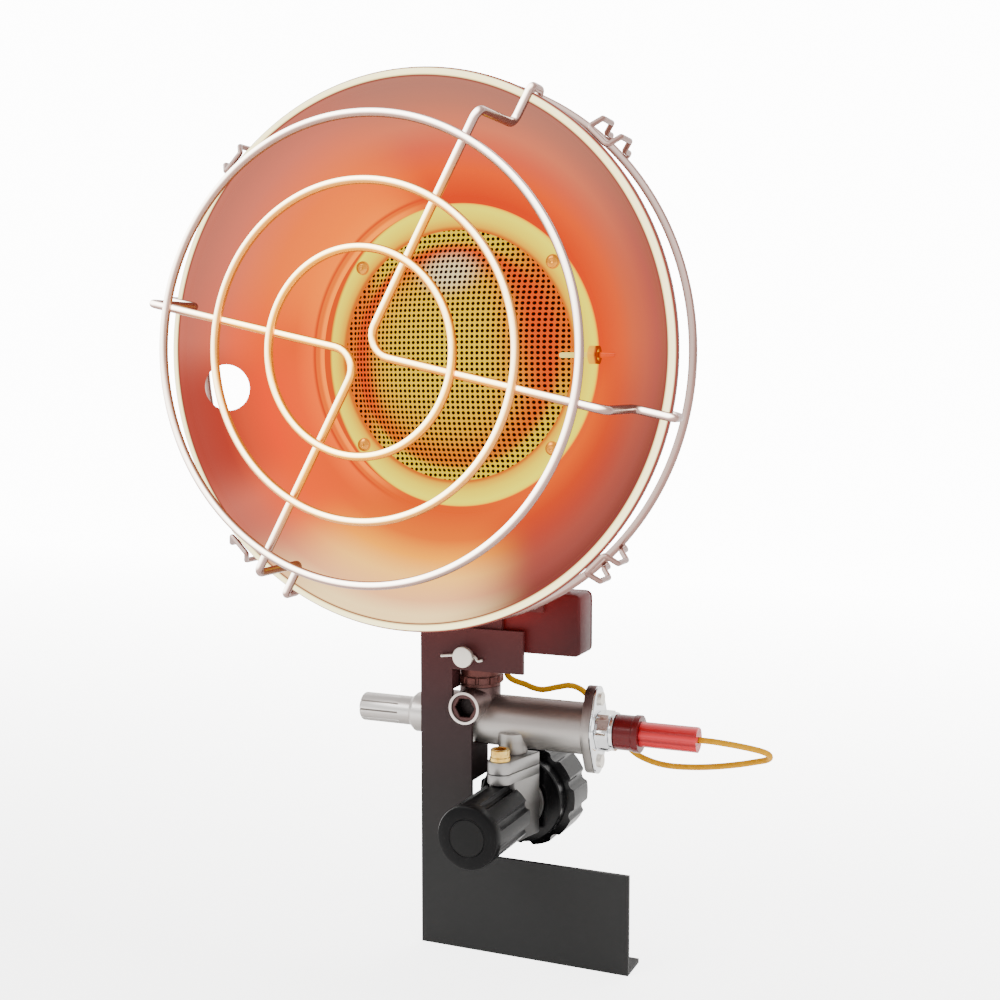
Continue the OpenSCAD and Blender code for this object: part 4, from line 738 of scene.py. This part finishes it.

# ---- Flame-failure valve --------------------------------------------------------
# A turned barrel of nickel-plated brass with an oval flange, a boss with a sunk
# hexagon plug in front and the gas outlet on top.

# nickel over turned brass: fine lines run round the barrel, which has a painted highlight just below its middle
# and painted shade on top, under the bowl, and the boss's front rim has a painted highlight
brushed_nickel, tree, place = finish_of("brushed_nickel_plate", "9A9490", Metallic=0.85, Roughness=0.4,
                                        Emission_Color="FFF2EA")
up = add(tree, "SeparateXYZ", Vector=place)
high = add(tree, "MapRange", {"From Min": 0.032, "From Max": 0.056}, Value=up.outputs["Z"])
add(tree, "ValToRGB", {"stops": {
    0.0: "8A8682", 0.2: "B4B0AC", 0.42: "A8A09C", 0.65: "857672", 0.85: "5E4A48", 1.0: "55403E"}},
    Fac=high, to="Base Color")
add(tree, "MapRange", {"From Min": -0.0494, "From Max": -0.0500}, to="Emission Strength", Value=up.outputs["Y"])
turned = add(tree, "Mapping", {"Scale": (1.0, 0.02, 0.02)}, Vector=place)
grained(tree, turned, 3000.0, 0.05, 0.0001)
valve = np.array([0, -30, 39.0])
barrel_line = softened([(-39.95, 8.1), (-39.95, 12.3), (35.6, 12.3), (35.6, 8.1)], 0.4, loop=True)


def oval(x0, t, ease):
    """(points, faces) of the oval flange: its edge at angle a is s*c + r*(cos a, sin a), on a lobe of radius lobe
    where |sin a| passes (wide - lobe)/c and on the round middle elsewhere; the two faces step in by ease."""
    a = circle(144)
    c, lobe, wide = 14.5, 6.5, 12.6
    k = (wide - lobe) / c
    side = np.where(np.sin(a) > k, 1, np.where(np.sin(a) < -k, -1, 0))
    xs = np.array([x0, x0 + ease * 0.3, x0 + ease, x0 + t - ease, x0 + t - ease * 0.3, x0 + t])[:, None]
    r = np.where(side == 0, wide, lobe) - ease * np.array([1, 0.3, 0, 0, 0.3, 1])[:, None]
    p = np.stack([np.repeat(xs, len(a), 1), r * np.cos(a), side * c + r * np.sin(a)], -1)
    return (p + valve).reshape(-1, 3), skinned(6, len(a))


boss_line = softened([(-50.2, 6.6), (-50.2, 7.8), (-40, 7.8), (-36, 9.0), (-36, 6.6)], 0.35, loop=True)
outlet_line = softened([(48, 10), (55.7, 10.0), (55.7, 2), (48, 2)], 0.3, loop=True)
inlet_line = softened([(26.05, 2), (26.05, 7.0), (36, 7.0), (36, 2)], 0.3, loop=True)
boss_at = (-20.5, 0, 47.8)
body = placed("valve_barrel", joined(
    lathed(*barrel_line.T, valve, axis="x", steps=160, closed=True),
    oval(35.2, 4.6, 0.6),
    lathed(*boss_line.T, boss_at, steps=96, closed=True),
    lathed(*outlet_line.T, tube_at, axis="z", steps=96, closed=True),
    lathed(*inlet_line.T, (0, -38, 0), axis="z", steps=96, closed=True)), brushed_nickel)
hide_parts("valve_body")
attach(body, "frame")

# the sunk plug: a flat disc with a hexagon socket, dark red, and painted shade darkens the socket inside
socket_shaded_brass, tree, place = finish_of("brass_plug_painted_shade", "5A3A38", Metallic=0.6, Roughness=0.4)
deep = add(tree, "SeparateXYZ", Vector=place)
depth = add(tree, "MapRange", {"From Min": -0.0488, "From Max": -0.0478}, Value=deep.outputs["Y"])
add(tree, "ValToRGB", {"stops": {0.0: "4A2E2D", 1.0: "100101"}}, Fac=depth, to="Base Color")
rows = (-41.05, -41.05, -48.6, -48.9, -48.9, -48.5, -44, -44)
socket = hexagon(5, shift=30)
rad = (0.3, 6.5, 6.5, 6.3, socket + 0.3, socket, socket, 0.3)
plug = placed("port_plug_socket", lathed(rows, rad, boss_at), socket_shaded_brass)
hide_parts("port_plug")
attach(plug, "frame")

# the end plate and the magnet unit's nut: chromed steel, a mirror with faint smears of 3 mm
chrome, tree, place = finish_of("mirror_chrome", "EDEEF0", Metallic=1.0, Roughness=0.06)
smear = add(tree, "TexNoise", {"Scale": 300.0, "Detail": 3.0}, Vector=place)
add(tree, "MapRange", {"To Min": 0.03, "To Max": 0.12}, Value=smear, to="Roughness")
plate = placed("end_plate_oval", oval(39.9, 1.2, 0.3), chrome)
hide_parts("end_plate")
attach(plate, "frame")
collar_ring = softened([(47.5, 4.1), (47.5, 8.4), (48.0, 9.1), (49.7, 9.1), (49.7, 4.1)], 0.3, loop=True)
magnet_nut = placed("magnet_nut_hex", joined(
    lathed(*six_sided(41.3, 47.6, 10.1, 4.1, 0.9), valve, axis="x", closed=True),
    lathed(*collar_ring.T, valve, axis="x", closed=True)), chrome)
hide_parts("magnet_nut")
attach(magnet_nut, "frame")

# ---- Lead sleeves ----------------------------------------------------------------
# A moulded dark red boot and a bright red extruded sleeve over the magnet's lead,
# both glossy PVC; the sleeve has eight faint lengthwise flats.

# moulded PVC: a clear gloss over slow waves of 2 mm
wine_pvc, tree, place = finish_of("wine_red_pvc", "5C0C10", Roughness=0.25, Specular_IOR_Level=0.3)
grained(tree, place, 500.0, 0.08, 0.0001)
boot_line = softened([(49.95, 1.6), (49.95, 8.3), (58.6, 8.3), (58.7, 8.8), (61.75, 8.8), (61.75, 1.6)],
                     0.4, loop=True)
boot = placed("dark_red_boot", lathed(*boot_line.T, valve, axis="x", steps=96, closed=True), wine_pvc)
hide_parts("dark_sleeve")
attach(boot, "frame")
# glossy PVC with painted highlights and shade: pale pink and dark streaks run along its length as bands of the
# height across the sleeve
red_pvc, tree, place = finish_of("bright_red_pvc", "B5001B", Roughness=0.25, Specular_IOR_Level=0.3)
height = add(tree, "SeparateXYZ", Vector=place)
band = add(tree, "MapRange", {"From Min": 0.0329, "From Max": 0.0451}, Value=height.outputs["Z"])
add(tree, "ValToRGB", {"stops": {
    0.0: "A80A14", 0.3: "C41A24", 0.37: "8E0410", 0.45: "B8141E", 0.56: "DC4048", 0.66: "CC2028", 0.73: "9A0610",
    0.85: "B80A14", 0.93: "E04A50", 1.0: "F08C8C"}}, Fac=band, to="Base Color")
flats = 6.1 - 0.22 * np.abs(np.sin(4 * circle(128))) ** 0.5
rows, rad = (61.9, 61.9, 88.7, 88.98, 88.98), (1.55, flats, flats, flats - 0.3, 1.55)
sleeve = placed("red_sleeve_extruded", lathed(rows, rad, valve, axis="x", closed=True), red_pvc)
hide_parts("lead_sleeve")
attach(sleeve, "frame")

# ---- Push button and its collar ---------------------------------------------------
# A die-cast collar clamps the valve to the bracket; the fluted aluminium button
# slides in it and is sprung. Both have one satin finish.

# anodised aluminium: fine lines along it, with a painted highlight on the upper side and painted shade below
satin_alloy, tree, place = finish_of("satin_anodised_aluminium", "DAD7D2", Metallic=0.8, Roughness=0.32)
along = add(tree, "Mapping", {"Scale": (0.05, 1.0, 1.0)}, Vector=place)
grained(tree, along, 1500.0, 0.08, 0.0001)
upper_side = add(tree, "VectorMath", {"operation": "DOT_PRODUCT", 1: (-0.1, -0.5, 0.86)},
                 _0=place.node.outputs["Normal"])
sky = add(tree, "MapRange", {"From Min": -0.9, "From Max": 1.0}, Value=upper_side)
add(tree, "ValToRGB", {"stops": {
    0.1: "5E5A56", 0.4: "8E8884", 0.62: "B4AEAA", 0.8: "F4F0EC", 1.0: "C0BAB6"}}, Fac=sky, to="Base Color")


def dips(n, count, half, shift=0.0):
    """How deep each of n even angles round a turn lies in one of count dips: 1 in a dip's middle, falling evenly
    to 0 on either side at the share half of the dips' pitch."""
    return np.clip(1 - np.abs((circle(n) * count / (2 * np.pi) + shift) % 1 - 0.5) / half, 0, 1)


fluted = 7.1 - 0.75 * dips(200, 10, 0.09, shift=0.5) ** 0.7
rows = (-84.4, -84.4, -84.1, -83.6, -63.4, -62.6, -49.4, -49.4)
rad = (0.3, fluted - 0.8, fluted - 0.25, fluted, fluted, 7.1, 7.1, 2.2)
button = placed("push_button_fluted", lathed(rows, rad, valve, axis="x"), satin_alloy)
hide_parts("push_button")
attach(button, "button")
collar_line = softened([(-56.4, 7.17), (-56.4, 7.7), (-53.9, 9.8), (-42.2, 9.8), (-42.2, 7.17)], 0.3, loop=True)
collar = placed("button_collar_cast", lathed(*collar_line.T, valve, axis="x", steps=96, closed=True), satin_alloy)
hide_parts("button_collar")
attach(collar, "frame")
turn, coil_r = np.linspace(0, 10 * np.pi, 100), 5.58
coil = np.column_stack([np.linspace(-48.75, -30.6, 100), valve[1] + coil_r * np.cos(turn),
                        valve[2] + coil_r * np.sin(turn)])
spring = placed("return_spring_wound", carried(coil, 0.44, 8), bright_zinc)
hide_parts("button_spring")
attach(spring, "frame")
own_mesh(spring)

# ---- Regulator ---------------------------------------------------------------------
# A die-cast zinc body with a separate cover, its brass adjuster plug on top. The
# black moulded knob turns the needle.

# shot-blasted zinc casting: grey and grainy, with painted shade darkening its lower parts
cast_alloy, tree, place = finish_of("die_cast_alloy", "8E8C8A", Metallic=0.85, Roughness=0.36)
sand = grained(tree, place, 900.0, 0.12, 0.0001, detail=4.0)
up = add(tree, "SeparateXYZ", Vector=place)
above = add(tree, "MapRange", {"From Min": -0.014, "From Max": 0.02}, Value=up.outputs["Z"])
add(tree, "ValToRGB", {"stops": {
    0.0: "2E2E2E", 0.45: "545250", 0.8: "8A8886", 1.0: "A09E9C"}}, Fac=above, to="Base Color")
add(tree, "MapRange", {"To Min": 0.28, "To Max": 0.46}, Value=sand, to="Roughness")
nose, nose_y, nose_r = np.linspace(np.pi, 2 * np.pi, 28), -53.5, 6
plan = np.vstack([np.column_stack([nose_r * np.cos(nose), nose_y + nose_r * np.sin(nose)]),
                  [(11.3, -32.2), (11.0, -31.3), (10.1, -31), (-10.1, -31), (-11.0, -31.3), (-11.3, -32.2)]])
lower_plan = softened([(-6.57, -51.1), (6.57, -51.1), (11.3, -31), (-11.3, -31)], 1.0, 4, loop=True)
hub_line = softened([(-31.3, 0.3), (-31.3, 13), (-29.6, 13), (-29.6, 0.3)], 0.4)
shank_line = softened([(-61.1, 3.3), (-61.1, 7.6), (-47.5, 7.6), (-47.5, 3.3)], 0.4, loop=True)
casting = placed("regulator_casting", joined(
    block(plan, 15.1, 19.8, 0.35, "z"), block(lower_plan, -14, 16.5, 0.8, "z"),
    lathed(*hub_line.T, (0, 0, 0), steps=96),
    lathed(*shank_line.T, (0, 0, 0), steps=72, closed=True)), cast_alloy)
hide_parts("regulator_body")
lid = placed("regulator_lid", block(plan, 20.0, 25.9, 0.6, "z"), cast_alloy)
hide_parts("regulator_cover")
for o in (casting, lid):
    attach(o, "frame")

# turned brass: bright yellow, with duller patches of 2.5 mm
bright_brass, tree, place = finish_of("turned_brass", "E0B95A", Metallic=1.0, Roughness=0.2)
dull = add(tree, "TexNoise", {"Scale": 400.0, "Detail": 4.0}, Vector=place)
add(tree, "ValToRGB", {"stops": {0.3: "CFA040", 0.7: "EBCB78"}}, Fac=dull, to="Base Color")
refinished(bright_brass, "inlet_nipple", "knob_spindle", "orifice_holder", "gas_orifice", "switch_terminal",
           "tilt_pendulum", "magnet_unit")
socket = hexagon(3.2)
rows = (20.0, 20.0, 26.05, 26.1, 27.6, 27.9, 31.0, 31.45, 31.45, 31.1, 28.8, 28.8)
rad = (0.3, 3, 3, 4.9, 4.9, 4.55, 4.55, 4.2, socket + 0.35, socket, socket, 0.3)
adjuster = placed("brass_adjuster", lathed(rows, rad, (0, nose_y, 0), axis="z"), bright_brass)
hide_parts("brass_plug")
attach(adjuster, "frame")

# glass-filled nylon: nearly black, with a fine matt grain
knob_nylon, tree, place = finish_of("black_glass_filled_nylon", "070708", Roughness=0.36, Specular_IOR_Level=0.12)
grained(tree, place, 1900.0, 0.18, 0.0001, detail=3.0)
groove = 1.6 * np.sqrt(1 - (1 - dips(240, 8, 0.18)) ** 2)
rows = (-90.8, -90.8, -91.7, -92.0, -91.9, -91.4, -90.6, -86.4, -85.4, -52.2, -51.6, -51.55, -51.55, -63.0)
rad = (0.3, 8.45, 8.5, 8.8, 13.4, 14.3, 14.7, 14.7, 14.7 - groove, 14.7 - groove, 14.3 - groove, 13.6 - groove,
       8.0, 8.0)
knob = placed("control_knob_moulded", lathed(rows, rad, (0, 0, 0)), knob_nylon)
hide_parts("control_knob")
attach(knob, "knob")
# a separate disc of the same nylon: matt and a touch paler
disc_line = softened([(-91.85, 0.3), (-91.85, 8.38), (-90.85, 8.38), (-90.85, 0.3)], 0.15)
disc_face, tree, place = finish_of("satin_black_disc", "171717", Roughness=0.5, Specular_IOR_Level=0.12)
grained(tree, place, 1500.0, 0.1, 0.0001)
disc = placed("knob_disc_inset", lathed(*disc_line.T, (0, 0, 0), steps=96), disc_face)
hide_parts("knob_cap")
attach(disc, "knob")

# ---- Coupling nut --------------------------------------------------------------------
# A black thermoplastic tank nut with ten finger scallops, held on the brass nipple
# by a circlip.

# moulded acetal: glossy black over slow ripples of 4 mm
gloss_black, tree, place = finish_of("gloss_black_acetal", "050506", Roughness=0.25, Specular_IOR_Level=0.25)
grained(tree, place, 250.0, 0.06, 0.0002)
lobe = 1.95 * np.sqrt(1 - (1 - dips(240, 10, 0.17, shift=0.5)) ** 2)
rows = (-28, -28, -27.6, -20.2, -19.8, -0.5, 0, 0, -22, -22)
rad = (7.6, 20.4, 21, 21, 25 - lobe, 25 - lobe, 24.4 - lobe, 16.6, 16.6, 7.6)
nut = placed("coupling_nut_moulded", lathed(rows, rad, (0, 0, 0), closed=True), gloss_black)
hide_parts("coupling_nut")
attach(nut, "nut")

# ---- Small hidden pieces ---------------------------------------------------------------
# The gasket, the diffuser, the rubber seals, the regulator's spring and the probe's
# copper lead stand behind or inside other pieces.

# pressed fibre is matt and coarse, and nitrile rubber is a dull, even black
fibre, tree, place = finish_of("pressed_fibre", "D8D2C4", Roughness=0.9)
grained(tree, place, 800.0, 0.3, 0.0002, detail=6.0)
nitrile, tree, place = finish_of("black_nitrile_rubber", "1A1A1A", Roughness=0.6)
grained(tree, place, 900.0, 0.1, 0.0001)
refinished(fibre, "gasket")
refinished(scaled_steel, "diffuser")
refinished(nitrile, "diaphragm", "nipple_seal", "valve_disc")
refinished(bright_zinc, "regulator_spring")
# drawn copper: a soft shine, browned in patches of 5 mm
copper, tree, place = finish_of("drawn_copper_tube", "B8734A", Metallic=1.0, Roughness=0.3)
patina = add(tree, "TexNoise", {"Scale": 200.0, "Detail": 5.0}, Vector=place)
add(tree, "ValToRGB", {"stops": {0.3: "8E5434", 0.7: "D08A5C"}}, Fac=patina, to="Base Color")
probe_line = bent([(71.0, -64.7, 214.5), (77.0, -64.7, 213.5), (79.0, -55.7, 206.5), (66, -42, 190),
                   (56, -36, 168), (44, -34, 146), (34, -33.5, 128), (27, -33.5, 116), (26, -33.5, 103.4)],
                  [2, 6, 6, 6, 6, 6, 6], 5)
probe_lead = placed("probe_copper_lead", carried(probe_line, 1.0, 12), copper)
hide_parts("thermocouple_lead")
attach(probe_lead, "frame")
